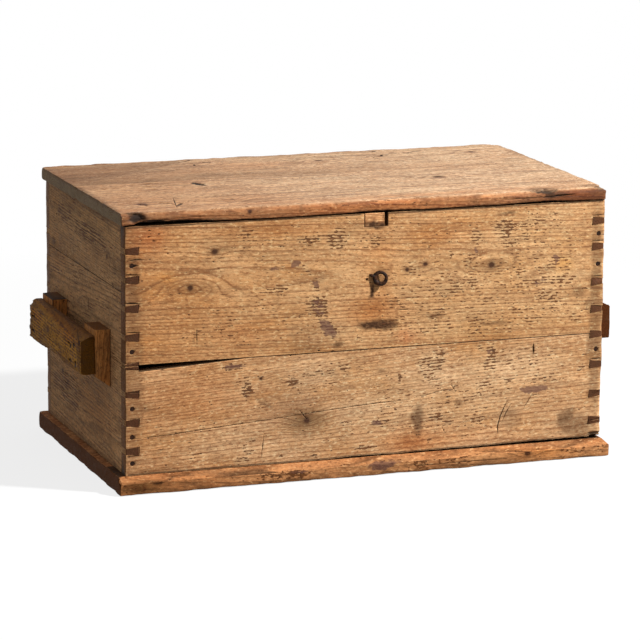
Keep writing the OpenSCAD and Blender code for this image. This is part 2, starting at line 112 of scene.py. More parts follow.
# Marks are (across, up, half width, half height, tilt in degrees, strength) on one face. A tint has its
# colour before its strength. A knot has, after its size, how far it pushes the rings, and over what reach.
# Residue is old paint, and a blotch is a patch where it has stayed whole. Stains are darker patches;
# one on the front is the eye's painted shadow.
frontMarks = {
    "plane": (1, 0.0), "u": 0, "v": 2,
    "residue": [
        (500, 280, 800, 400, 0, .16), (640, 360, 190, 90, 0, .46), (850, 420, 110, 90, 0, .46),
        (300, 350, 190, 60, 0, .3), (260, 475, 200, 36, 0, .32),
        (630, 130, 220, 70, 0, .4), (150, 100, 130, 50, 0, .28), (420, 200, 170, 46, 0, .34),
        (810, 200, 130, 50, 0, .42),
        (500, 480, 90, 30, 0, .4), (700, 300, 260, 40, 0, .48), (200, 300, 120, 30, 0, .4),
        (920, 330, 70, 60, 0, .45),
        (185, 492, 30, 12, 0, .35), (250, 492, 32, 18, 0, .55), (325, 478, 14, 28, 0, .5),
        (375, 480, 28, 10, 0, .9), (430, 478, 26, 24, 0, .85), (510, 468, 16, 14, 0, .95),
        (507, 435, 12, 8, 0, .5), (300, 425, 22, 10, 0, .6), (305, 383, 30, 8, 0, .8),
        (365, 420, 18, 6, -25, .8), (400, 410, 10, 6, 0, .6), (395, 400, 12, 5, 0, .8),
        (385, 382, 10, 7, 0, .8), (392, 345, 24, 26, 8, 1), (365, 385, 16, 14, 0, .35),
        (340, 300, 22, 14, 0, .4), (370, 305, 16, 10, 0, .45), (195, 368, 10, 10, 0, .5),
        (230, 372, 16, 8, 0, .5), (150, 370, 25, 10, 0, .25), (215, 320, 12, 8, 0, .5),
        (120, 305, 10, 3, 0, .7), (170, 312, 20, 14, 0, .35), (215, 300, 14, 3, 0, .8),
        (553, 433, 20, 8, 0, .3), (612, 459, 14, 4, 0, .5), (672, 457, 14, 6, 0, .7),
        (668, 435, 5, 6, 0, .8), (722, 465, 16, 14, 0, .9), (705, 412, 6, 9, 0, .8),
        (705, 427, 8, 4, 0, .6), (660, 395, 22, 12, 0, .5), (675, 362, 26, 16, 0, .85),
        (720, 370, 45, 10, 0, .6), (640, 362, 20, 8, 0, .5), (650, 330, 25, 8, 0, .45),
        (610, 315, 10, 6, 0, .5), (685, 313, 22, 7, 0, .6), (710, 310, 12, 6, 0, .5),
        (745, 312, 18, 10, 0, .45), (838, 506, 14, 6, 0, .8), (870, 505, 20, 5, 0, .4),
        (892, 502, 8, 8, 0, .5), (780, 478, 24, 22, 0, .85), (845, 487, 28, 12, 0, .8),
        (830, 483, 40, 4, 0, .9), (830, 463, 14, 12, 0, .8), (890, 470, 12, 30, 0, .5),
        (790, 447, 22, 6, -15, .8), (845, 440, 8, 5, 0, .4), (893, 410, 10, 16, 0, .8),
        (815, 385, 18, 12, 10, .8), (775, 388, 10, 8, 0, .7), (855, 392, 14, 5, 0, .8),
        (880, 395, 12, 8, 0, .8), (862, 368, 26, 12, 8, .8), (900, 374, 30, 8, 8, .9),
        (905, 365, 30, 6, 5, .8), (935, 368, 14, 5, 0, .8), (820, 365, 20, 12, 0, .6),
        (835, 346, 14, 5, 0, .7), (880, 338, 28, 18, 0, .8), (840, 318, 25, 8, 0, .5),
        (895, 315, 18, 12, 0, .6), (915, 317, 14, 4, 0, .8), (735, 287, 20, 14, 0, .35),
        (617, 282, 20, 6, 0, .5), (660, 282, 15, 5, 0, .4), (890, 278, 12, 10, 0, .4),
        (480, 275, 12, 8, 0, .7), (413, 300, 30, 16, -45, .8),
        (222, 238, 26, 9, 0, .7), (247, 192, 12, 24, 0, 1), (228, 203, 10, 6, 0, .6),
        (258, 88, 8, 8, 0, .9), (248, 70, 8, 12, 0, .6), (237, 50, 18, 10, 0, .9),
        (137, 65, 5, 12, 0, .6), (120, 72, 5, 4, 0, .6), (175, 75, 10, 5, 0, .5),
        (345, 196, 14, 14, 0, .9), (330, 175, 8, 4, 0, .8), (380, 213, 22, 4, 0, .8),
        (402, 210, 4, 5, 0, 1), (420, 212, 8, 8, 0, .7), (447, 218, 14, 12, 0, .9),
        (315, 187, 6, 3, 0, .8), (450, 108, 8, 6, 0, .8), (462, 86, 6, 5, 0, .8),
        (515, 105, 14, 10, 0, .9), (535, 108, 14, 3, 0, .8), (495, 55, 30, 6, 0, .9),
        (385, 45, 8, 4, 0, .8), (318, 48, 6, 3, 0, 1), (570, 43, 12, 6, 0, .8),
        (565, 188, 10, 12, 0, .9), (580, 200, 14, 4, 0, .5), (570, 163, 3, 6, 0, .8),
        (630, 215, 32, 30, 0, .8), (655, 225, 14, 22, 0, .8), (630, 190, 14, 8, 0, .8),
        (640, 105, 14, 10, 0, .8), (670, 92, 18, 6, 0, .8), (672, 115, 8, 3, 0, .8),
        (632, 60, 6, 5, 0, .8), (760, 215, 16, 35, 0, .9), (735, 240, 10, 10, 0, .8),
        (740, 165, 25, 8, 0, .8), (735, 145, 18, 5, 0, .8), (795, 170, 14, 6, 0, 1),
        (880, 173, 45, 3, 0, .9), (880, 165, 45, 3, 0, .8), (795, 202, 8, 2, 0, .8),
        (800, 150, 10, 4, 0, .6), (855, 134, 14, 3, 0, .8), (720, 115, 12, 8, 0, .7),
        (745, 118, 12, 8, 0, .7), (735, 92, 22, 8, 0, .8), (715, 82, 18, 3, 0, .9),
        (705, 62, 10, 5, 0, .8), (740, 60, 12, 6, 0, .4), (955, 183, 14, 3, 0, .9),
        (920, 192, 6, 4, 0, .8), (120, 240, 4, 3, 0, .9), (172, 190, 4, 3, 0, .9),
        (170, 168, 4, 3, 0, .9), (162, 220, 4, 3, 0, .9),
    ],
    "blotch": [
        (345, 433, 10, 6, 0, .9), (385, 390, 10, 8, 0, .8), (392, 345, 20, 24, 8, .45),
        (413, 300, 26, 13, -45, .75), (722, 436, 8, 8, 0, .7), (893, 410, 8, 14, 0, .6),
        (862, 368, 20, 9, 8, .5), (222, 238, 24, 7, 0, .6), (515, 105, 11, 8, 0, .8),
        (853, 147, 29, 8, 0, 1), (300, 425, 16, 7, 0, .5), (755, 232, 12, 10, 0, .5),
    ],
    "stainAndShadow": [
        (180, 466, 34, 3, 0, .35), (131, 398, 60, 16, 0, .25), (500, 330, 50, 22, 0, .22),
        (514, 302, 36, 11, 0, 1.1), (538, 300, 16, 9, 0, .9), (477, 308, 4, 12, 0, .6),
        (640, 310, 14, 3, 0, .9),
        (945, 340, 14, 12, 0, .5), (975, 315, 15, 10, 0, .5), (770, 288, 30, 4, 0, .6),
        (435, 268, 15, 8, 0, .7), (790, 507, 25, 3, 0, .7), (603, 100, 13, 34, 0, .7),
        (590, 60, 30, 22, 0, .2), (950, 62, 38, 26, 0, .55), (922, 84, 24, 14, 45, .7),
        (800, 90, 22, 24, 0, .35),
        (285, 158, 22, 6, -35, .5), (20, 168, 40, 7, 0, .5), (527, 207, 6, 4, 0, .6),
        (695, 130, 10, 6, 0, .5), (370, 119, 45, 26, 0, .3), (756, 406, 60, 14, 0, .25),
        (22, 458, 18, 5, 0, .8), (17, 447, 8, 3, 0, 1), (144, 302, 3, 16, 0, .5),
        # (503, 371, 5, 17) is the forged eye's cast shadow, painted on the board as a dark leaf
        (516, 396, 24, 20, 0, .4), (503, 371, 5, 17, -28, 1.1), (17, 280, 19, 250, 0, .42),
        (984, 300, 15, 220, 0, .5), (511, 502, 26, 7, 0, 1.1), (531, 511, 3, 12, 0, 1),
        (488, 505, 2, 8, 0, .7), (60, 42, 60, 5, 0, .4),
    ],
    "tint": [
        (45, 500, 34, 30, 0, "#ffe4dc", .9), (14, 385, 22, 60, 0, "#e0e2ea", .8),
        (85, 422, 16, 12, 0, "#fff4d8", .9),
        (375, 276, 40, 22, 0, "#dfe1e8", .9), (577, 274, 20, 14, 0, "#ffe4dc", .9),
        (910, 400, 18, 14, 0, "#fff0cc", .9),
        (500, 330, 56, 24, 0, "#ffe2c4", .9), (518, 405, 34, 120, 0, "#fff0e0", .9),
        (350, 135, 70, 44, 0, "#dcd8dc", .9),
        (370, 119, 46, 24, 0, "#dcdccc", .8), (590, 60, 40, 24, 0, "#ffe2ca", .9),
        (60, 280, 190, 300, 0, "#fdeede", .9),
        (240, 300, 60, 24, 0, "#f4e4d8", .8), (660, 60, 120, 22, 0, "#fbe6d2", .8),
        (830, 250, 90, 26, 0, "#e9e2da", .8),
        (470, 230, 70, 30, 0, "#f2e8da", .8), (150, 180, 90, 40, 0, "#f2e2d2", .8),
        (900, 110, 70, 60, 0, "#e6ded6", .8),
        (640, 480, 60, 30, 0, "#f4e2d0", .8), (310, 500, 120, 14, 0, "#f0dcc6", .8),
        (730, 250, 50, 60, 0, "#f2ecdf", .7),
    ],
    "knots": [
        (180, 466, 6.5, 5.5, 6, 26, 10), (131, 398, 6, 6, 24, 60, 20), (756, 406, 6.5, 6, 24, 62, 20),
        (577, 407, 4, 4, 9, 36, 10), (615, 416, 5, 4, 5, 24, 9), (370, 119, 6.5, 6, 16, 40, 22),
        (275, 210, 3, 3, 8, 26, 14),
    ],
}

# Cuts are splits, gouges and scratches: depth, the darkness painted on the floor as shade, and
# points (across, up, half width).
frontCuts = [
    (4, 1, [(14, 108, .2), (60, 110, .6), (100, 112, .9), (150, 116, .7), (200, 120, .9), (274, 125, .6),
            (350, 131, .4), (440, 138, .7), (503, 142, .9), (560, 144, .5), (588, 145, .1)]),
    (3, 1, [(598, 150, .1), (620, 151, .6), (641, 156, .6), (674, 161, .1)]),
    (3, 1, [(972, 75, .1), (985, 74, 1.2), (998, 75, .3)]),
    (5, 1, [(849, 217, .1), (849.5, 225, 1.6), (849, 235, 1.6), (849, 242, .1)]),
    (1, .6, [(548, 329, .1), (572, 327, .7), (598, 325, .1)]),
    (1, .6, [(282, 100, .1), (279, 76, .7), (276, 52, .1)]),
    (1.6, .9, [(776, 62, .2), (774, 74, 1.1), (780, 96, 1.2), (788, 114, 1), (797, 130, .2)]),
    (1.3, .8, [(784, 84, .1), (793, 104, 1), (804, 122, .2)]),
    (1.3, .8, [(830, 108, .1), (840, 124, 1), (849, 138, .2)]),
    (1, .6, [(655, 85, .1), (658, 78, .6), (662, 72, .1)]),
    (1, .5, [(672, 170, .1), (678, 162, .6), (683, 155, .1)]),
    (1.4, .9, [(355, 140, .1), (362, 131, .7), (370, 122, .5)]),
    (1, .8, [(144, 286, .1), (144, 302, .8), (143.5, 317, .1)]),
    (1.6, .9, [(362, 208, .1), (380, 207, .8), (398, 209, .1)]),
    (3, 1, [(46, 514, .2), (50, 515, 1.4), (54, 515, .2)]),
    (3, 1, [(44, 501, .2), (48, 502, 1.4), (52, 503, .2)]),
    (2, 1, [(54, 494, .2), (58, 494, 1.5), (62, 493, .2)]),
    (2, 1, [(334, 251, .3), (336, 251, 1.6), (338, 251, .3)]),
    (2, 1, [(391, 257, .3), (394, 257, 1.8), (397, 257, .3)]),
    (2, 1, [(420, 254, .3), (423, 254, 1.6), (426, 254, .3)]),
    (4, 1, [(-4, 431, .4), (8, 431, 1.5), (22, 430, 1.2), (32, 429, .2)]),
    (4, 1, [(1, 375, .4), (12, 375, 1.5), (24, 374, 1.2), (34, 373, .2)]),
    (4, 1, [(8, 447, .3), (17, 447, 2.6), (27, 448, .3)]),
    (2, .9, [(6, 457, .3), (20, 460, 1.0), (42, 458, .2)]),
    (3, 1, [(3, 318, .3), (18, 318, 1.0), (32, 317, .2)]),
    (2, .8, [(4, 200, .3), (18, 200, .8), (31, 200, .2)]),
    (3, 1, [(3, 74, .3), (18, 75, 1.1), (32, 75, .2)]),
    (2, .8, [(4, 148, .3), (18, 148, .8), (31, 148, .2)]),
    (3, 1, [(972, 493, .2), (985, 494, 1.0), (998, 494, .4)]),
    (3, 1, [(972, 369, .2), (985, 370, 1.0), (998, 370, .4)]),
    (2, .8, [(972, 441, .2), (985, 441, .8), (998, 441, .3)]),
    (2, .8, [(974, 200, .2), (985, 200, .8), (998, 200, .3)]),
]

topMarks = {
    "plane": (2, 550.0), "u": 0, "v": 1,
    "residue": [
        (500, 280, 700, 400, 0, .42), (215, 440, 60, 30, 0, .5), (450, 365, 20, 8, 0, .6),
        (420, 445, 20, 8, 0, .5),
        (570, 230, 14, 6, 30, .7), (445, 215, 12, 6, 0, .6), (910, 225, 14, 6, 0, .5),
        (590, 400, 16, 8, 0, .6), (635, 440, 16, 8, 0, .6), (770, 445, 30, 10, 0, .6),
        (870, 420, 40, 10, 0, .7), (150, 325, 22, 6, 0, .8), (137, 257, 20, 6, 0, .7),
        (75, 180, 14, 8, 0, .6), (90, 125, 16, 6, 0, .7), (138, 128, 8, 5, 0, .8),
        (700, 480, 16, 26, 0, .5), (300, 60, 30, 10, 0, .3), (640, 60, 40, 10, 0, .35),
        (820, 100, 30, 14, 0, .4), (500, 470, 40, 20, 0, .4), (90, 420, 30, 14, 0, .4),
    ],
    "blotch": [(60, 90, 15, 12, 0, .8), (243, 285, 18, 9, 0, .5), (715, 198, 18, 8, 0, .4)],
    "stainAndShadow": [
        (725, 215, 14, 10, 0, .5), (715, 198, 22, 8, 0, .5), (297, 520, 7, 22, 15, 1.2),
        (313, 535, 7, 19, 15, 1.2),
        (210, 531, 15, 5, -15, 1), (474, 522, 5, 20, 12, .8), (506, 516, 9, 8, 30, .8),
        (236, 272, 9, 22, 15, .8), (482, 555, 12, 26, 0, .5),
        (512, 550, 10, 24, 0, .5), (703, 560, 10, 24, 0, .5), (697, 490, 8, 16, 0, .5),
        (865, 14, 45, 16, 0, .6), (980, 20, 26, 18, 0, .5),
        (22, -2, 24, 12, 0, .9), (500, 566, 520, 8, 0, .4), (-4, 280, 8, 300, 0, .45),
        (1000, 300, 10, 300, 0, .35), (300, 300, 300, 3, 0, .5), (500, 127, 520, 3, 0, .4),
    ],
    "tint": [
        (60, 260, 260, 420, 0, "#efdfd0", 1), (120, 450, 160, 90, 0, "#ecd9cc", .8),
        (600, 26, 380, 22, 0, "#fde6d4", .8),
        (420, 440, 120, 60, 0, "#f2e2d6", .8), (700, 330, 160, 40, 0, "#f4eae4", .8),
        (240, 90, 120, 40, 0, "#f0e0d2", .8),
    ],
    "knots": [
        (725, 215, 7, 6, 12, 40, 22), (245, 90, 4, 4, 8, 30, 16), (560, 470, 6, 5, 12, 40, 20),
        (330, 350, 4, 4, 8, 30, 16), (905, 480, 5, 5, 10, 36, 18),
    ],
}
topCuts = [
    (1.2, 1, [(194, 536, 3), (200, 534, 10), (218, 530, 10), (226, 527, 3)]),
    (1.2, .9, [(468, 544, 3), (471, 532, 9), (474, 514, 9), (477, 502, 3)]),
    (1.2, .9, [(497, 524, 3), (502, 520, 10), (508, 514, 10), (513, 510, 3)]),
    (1.2, .8, [(692, 540, .5), (696, 530, 6), (700, 520, .5)]),
    (1.2, 1, [(708, 500, .6), (722, 503, 7), (736, 507, .6)]),
    (1.2, 1, [(758, 505, .6), (772, 508, 7), (786, 512, .6)]),
    (1.2, 1, [(784, 520, .6), (798, 523, 7), (812, 526, .6)]),
    (2, .8, [(682, 480, .3), (685, 468, 4), (688, 456, .3)]),
    (1.5, 1, [(230, 292, 3), (232, 284, 9), (240, 260, 9), (243, 251, 3)]),
    (1.2, .7, [(141, 142, .2), (128, 90, 1.4), (114, 30, .2)]),
    (2, .9, [(126, 306, 1), (134, 306, 5), (152, 307, 5), (160, 307, 1)]),
    (2, .9, [(114, 245, .4), (133, 244, 4), (150, 243, .4)]),
    (2, .9, [(53, 93, 3), (58, 88, 9), (66, 80, 9), (70, 76, 3)]),
    (2, .9, [(120, 49, 2), (124, 56, 7), (133, 71, 7), (137, 78, 2)]),
    (2, .8, [(93, 97, 2), (100, 93, 8), (114, 86, 8), (121, 83, 2)]),
    (2, .8, [(283, 362, .5), (288, 370, 5), (294, 378, .5)]),
    (1.2, .8, [(562, 236, .2), (572, 228, 1.2), (582, 220, .2)]),
    (1.2, .7, [(70, 176, .2), (78, 184, 1.0), (86, 190, .2)]),
    (3, 1, [(836, 16, .2), (880, 18, 1.4), (950, 15, 1.0), (1001, 13, .6)]),
    (2, .9, [(16, 273, 1.6), (140, 276, 3), (310, 279, 3.4), (518, 283, 2.6), (640, 284, .1)]),
    (1.5, .8, [(620, 420, .1), (720, 424, .7), (860, 421, .6), (930, 424, .1)]),
    (1.5, .8, [(24, 96, .4), (150, 86, 2.2), (310, 71, .3)]),
    (1.5, .8, [(700, 95, .1), (830, 90, .7), (960, 93, .1)]),
]

lidFrontMarks = {
    "plane": (1, -4.0), "u": 0, "v": 2,
    "residue": [(90, 545, 60, 6, 0, .5), (300, 540, 80, 8, 0, .35), (620, 540, 60, 8, 0, .4),
                (860, 536, 60, 6, 0, .6),
                (470, 545, 30, 6, 0, .4), (760, 544, 40, 5, 0, .5)],
    "blotch": [], "knots": [(250, 541, 4, 4, 5, 20, 10)],
    "stainAndShadow": [(30, 539, 19, 11, 0, 1.2), (880, 541, 11, 12, 0, 1.2), (900, 540, 14, 6, 0, .8),
              (982, 540, 22, 16, 0, .4),
              (500, 524, 520, 3, 0, .5), (355, 541, 5, 10, 0, .4), (720, 540, 8, 12, 0, .3)],
    "tint": [(500, 537, 1200, 60, 0, "#d5b597", 1), (40, 537, 260, 60, 0, "#d6cabc", .9),
             (920, 537, 120, 60, 0, "#b49a88", 1), (965, 537, 50, 60, 0, "#e0ccbe", .8),
             (540, 540, 170, 30, 0, "#ffe6cc", .8)],
}
lidFrontCuts = [
    (4, 1, [(862, 535, .6), (905, 539, 2.6), (950, 542, 2.3), (1001, 545, 1.4)]),
    (3, 1, [(855, 549, .3), (870, 546, 2.4), (884, 548, .4)]),
    (1.6, .8, [(60, 533, .1), (120, 536, .7), (190, 534, .1)]),
    (1.4, .8, [(760, 534, .1), (860, 537, .6), (940, 535, .1)]),
]

leftMarks = {
    "plane": (0, 0.0), "u": 1, "v": 2,
    "residue": [
        (280, 280, 400, 400, 0, .4), (250, 470, 150, 22, 0, .85), (440, 480, 30, 22, 0, .85),
        (480, 350, 60, 10, 0, .8),
        (410, 125, 130, 34, 0, .82), (250, 390, 10, 8, 0, .8), (330, 430, 70, 12, 0, .5),
        (150, 350, 60, 18, 0, .45), (90, 470, 30, 20, 0, .4), (230, 330, 10, 14, 0, .6),
        (120, 120, 60, 30, 0, .35), (480, 440, 50, 14, 0, .5), (380, 96, 90, 12, 0, .85),
        (400, 480, 50, 24, 0, .75), (250, 300, 60, 30, 0, .6),
    ],
    "blotch": [(300, 455, 60, 10, 0, .4), (430, 470, 20, 14, 0, .4)],
    "stainAndShadow": [
        (12, 280, 13, 250, 0, .45), (545, 280, 18, 250, 0, .35), (280, 40, 290, 7, 0, .5),
        (500, 408, 10, 7, 0, .8), (81, 397, 10, 7, 0, .8), (280, 520, 290, 8, 0, .4),
        (150, 240, 70, 60, 0, .25), (-5, 280, 20, 300, 0, .3),
    ],
    "tint": [(280, 500, 300, 40, 0, "#e6e4da", .8), (420, 200, 120, 60, 0, "#fdeedd", .6),
             (200, 120, 160, 60, 0, "#ecdccb", .8), (480, 380, 70, 60, 0, "#f0e4d8", .7)],
    "knots": [(330, 210, 6, 6, 14, 40, 24), (120, 445, 4, 4, 8, 30, 16), (440, 150, 5, 5, 10, 34, 20)],
}
leftCuts = [
    (3, 1, [(17, 431, .5), (60, 431, 1.0), (134, 430, .1)]),
    (5, 1, [(474, 467, .6), (478, 467, 2.6), (482, 467, .6)]),
    (3, 1, [(248, 312, .2), (248, 325, 1.5), (248, 338, .2)]),
    (4, 1, [(404, 215, .4), (407, 215, 2), (410, 215, .4)]),
    (4, 1, [(357, 222, .4), (360, 222, 2), (363, 222, .4)]),
    (4, 1, [(402, 185, .4), (405, 185, 2), (408, 185, .4)]),
    (4, 1, [(347, 180, .4), (350, 180, 2), (353, 180, .4)]),
    (3, 1, [(-1, 430, .8), (14, 430, 1.0), (27, 430, .2)]),
    (3, 1, [(-1, 372, .8), (14, 372, 1.0), (27, 372, .2)]),
    (3, 1, [(-1, 250, .8), (14, 250, 1.0), (27, 250, .2)]),
    (2, .9, [(150, 478, .1), (240, 477, .8), (345, 479, .1)]),
    (2, .9, [(150, 470, .1), (240, 469, .8), (350, 471, .1)]),
    (2, .9, [(140, 462, .1), (230, 461, .8), (330, 463, .1)]),
    (2, .9, [(170, 454, .1), (260, 453, .8), (350, 455, .1)]),
    (2, .8, [(290, 150, .1), (420, 148, .8), (520, 151, .1)]),
    (2, .8, [(300, 132, .1), (400, 130, .8), (535, 133, .1)]),
    (2, .8, [(310, 112, .1), (430, 110, .8), (530, 113, .1)]),
]

baseMarks = {
    "plane": (1, -15.0), "u": 0, "v": 2,
    "residue": [(500, 18, 700, 40, 0, .42), (300, 18, 60, 12, 0, .5), (524, 19, 36, 12, 0, 1),
                (604, 24, 16, 8, 0, .9),
                (700, 16, 60, 10, 0, .4), (120, 18, 40, 10, 0, .4), (900, 20, 40, 10, 0, .4)],
    "blotch": [(524, 19, 32, 9, 0, .8), (350, 20, 24, 6, 0, .6)],
    "stainAndShadow": [(500, 2, 530, 5, 0, .6), (20, 16, 26, 16, 0, .6), (62, 26, 16, 7, 0, 1.1),
              (524, 17, 26, 8, 0, .6), (800, 12, 90, 8, 0, .3), (500, 34, 530, 4, 0, .4)],
    "tint": [(30, 14, 40, 14, 0, "#d8dccb", .9), (870, 20, 60, 14, 0, "#fdeac8", .8),
             (60, 18, 200, 40, 0, "#e8dccf", .9)],
    "knots": [(835, 20, 7, 6, 8, 30, 14)],
}
baseCuts = [
    (1.5, .8, [(160, 22, .1), (260, 23, .7), (380, 22, .1)]),
    (1.5, .8, [(600, 12, .1), (700, 13, .6), (790, 12, .1)]),
]

handleMarks = {
    "plane": (0, -61.0), "u": 1, "v": 2, "blotch": [], "knots": [(330, 262, 5, 5, 8, 30, 14)],
    "residue": [(290, 256, 280, 70, 0, .7), (200, 270, 40, 14, 0, .9), (400, 240, 50, 20, 0, .8)],
    "stainAndShadow": [(110, 256, 16, 40, 0, .6), (470, 250, 26, 50, 0, .6), (290, 222, 190, 8, 0, .5)],
    "tint": [(180, 280, 60, 12, 0, "#ffdcb4", .8), (420, 275, 40, 16, 0, "#ffe2c2", .8)],
}
handleCuts = [
    (4, 1, [(170, 266, 1.6), (177, 266, 3.4), (184, 266, 1.6)]),
    (4, 1, [(135, 270, 1.6), (142, 270, 3.2), (149, 270, 1.6)]),
    (4, 1, [(169, 233, 1.6), (176, 233, 3.4), (183, 233, 1.6)]),
    (4, 1, [(126, 237, 1.6), (133, 237, 3.4), (140, 237, 1.6)]),
    (4, 1, [(436, 266, 1.6), (443, 266, 3.2), (450, 266, 1.6)]),
    (4, 1, [(437, 237, 1.6), (444, 237, 3.4), (451, 237, 1.6)]),
    (2, .9, [(230, 246, .1), (300, 244, .8), (380, 247, .1)]),
]
barTopMarks = {
    "plane": (2, 294.0), "u": 1, "v": 0, "blotch": [], "knots": [],
    "tint": [(290, -46, 600, 90, 0, "#b8a898", 1)],
    "residue": [(290, -46, 260, 40, 0, .5)], "stainAndShadow": [(290, -34, 260, 8, 0, .8), (200, -50, 60, 10, 0, .4)],
}


def scatteredMarks(seed, plane, u, v, uRange, vRange, patches):
    # the faces that the photograph hides are worn in the same way, in other places
    rng = np.random.default_rng(seed)
    marks = {"plane": plane, "u": u, "v": v, "residue": [], "blotch": [], "stainAndShadow": [], "tint": [],
             "knots": []}
    cuts = []
    for index in range(patches):
        across = rng.uniform(*uRange)
        up = rng.uniform(*vRange)
        marks["residue"].append((across, up, rng.uniform(8, 40), rng.uniform(4, 18), rng.uniform(-8, 8),
                                 rng.uniform(.35, .95)))
        if index % 6 == 0:
            marks["blotch"].append((across + 10, up, rng.uniform(8, 20), rng.uniform(5, 12), 0, .6))
        if index % 5 == 0:
            marks["stainAndShadow"].append((across, up - 20, rng.uniform(10, 50), rng.uniform(4, 20), 0, .4))
        if index % 12 == 0:
            marks["knots"].append((rng.uniform(*uRange), rng.uniform(*vRange), 6, 6, rng.uniform(8, 22),
                                   rng.uniform(30, 55), 20))
        if index % 9 == 0:
            length = rng.uniform(30, 120)
            cuts.append((1.5, .8, [(across, up, .1), (across + length / 2, up + 1, .7),
                                   (across + length, up + rng.uniform(-4, 4), .1)]))
    return marks, cuts


backMarks, backCuts = scatteredMarks(11, (1, 560.0), 0, 2, (30, 900), (60, 505), 60)
rightMarks, rightCuts = scatteredMarks(23, (0, 1000.0), 1, 2, (30, 500), (60, 505), 34)
faces = [(frontMarks, frontCuts), (topMarks, topCuts), (lidFrontMarks, lidFrontCuts),
         (leftMarks, leftCuts), (baseMarks, baseCuts), (backMarks, backCuts), (rightMarks, rightCuts),
         (handleMarks, handleCuts), (barTopMarks, [])]

# How the boards of one kind lie in their tree and are seen: grain axis, axis across the board and axis
# through it, the shown face, the finish, the faces that get a fine grid, and the grid's mm along and across.
boardKinds = {
    "front": {"axes": (0, 2, 1), "face": 0, "finish": "walls", "shown": [(1, 0)], "grid": (4, 3)},
    "back": {"axes": (0, 2, 1), "face": 560, "finish": "walls", "shown": [(1, 560)], "grid": (8, 5)},
    "left": {"axes": (1, 2, 0), "face": 0, "finish": "ends", "shown": [(0, 0), (1, 0)], "grid": (5, 4)},
    "right": {"axes": (1, 2, 0), "face": 1000, "finish": "ends", "shown": [(0, 1000)], "grid": (8, 5)},
    "base": {"axes": (0, 1, 2), "face": 36, "finish": "base", "shown": [(0, -15), (0, 1015)], "grid": (5, 5)},
    "lid": {"axes": (0, 1, 2), "face": 550, "finish": "lid", "shown": [(2, 550), (0, -7), (0, 1000)],
            "grid": (4, 4)},
    "batten": {"axes": (1, 0, 2), "face": 502, "finish": "inside", "shown": [(2, 502)], "grid": (8, 6)},
    "bar": {"axes": (1, 2, 0), "face": -61, "finish": "handles", "grid": (5, 4)},
    "block": {"axes": (2, 1, 0), "face": -31, "finish": "handles", "grid": (4, 4)},
}
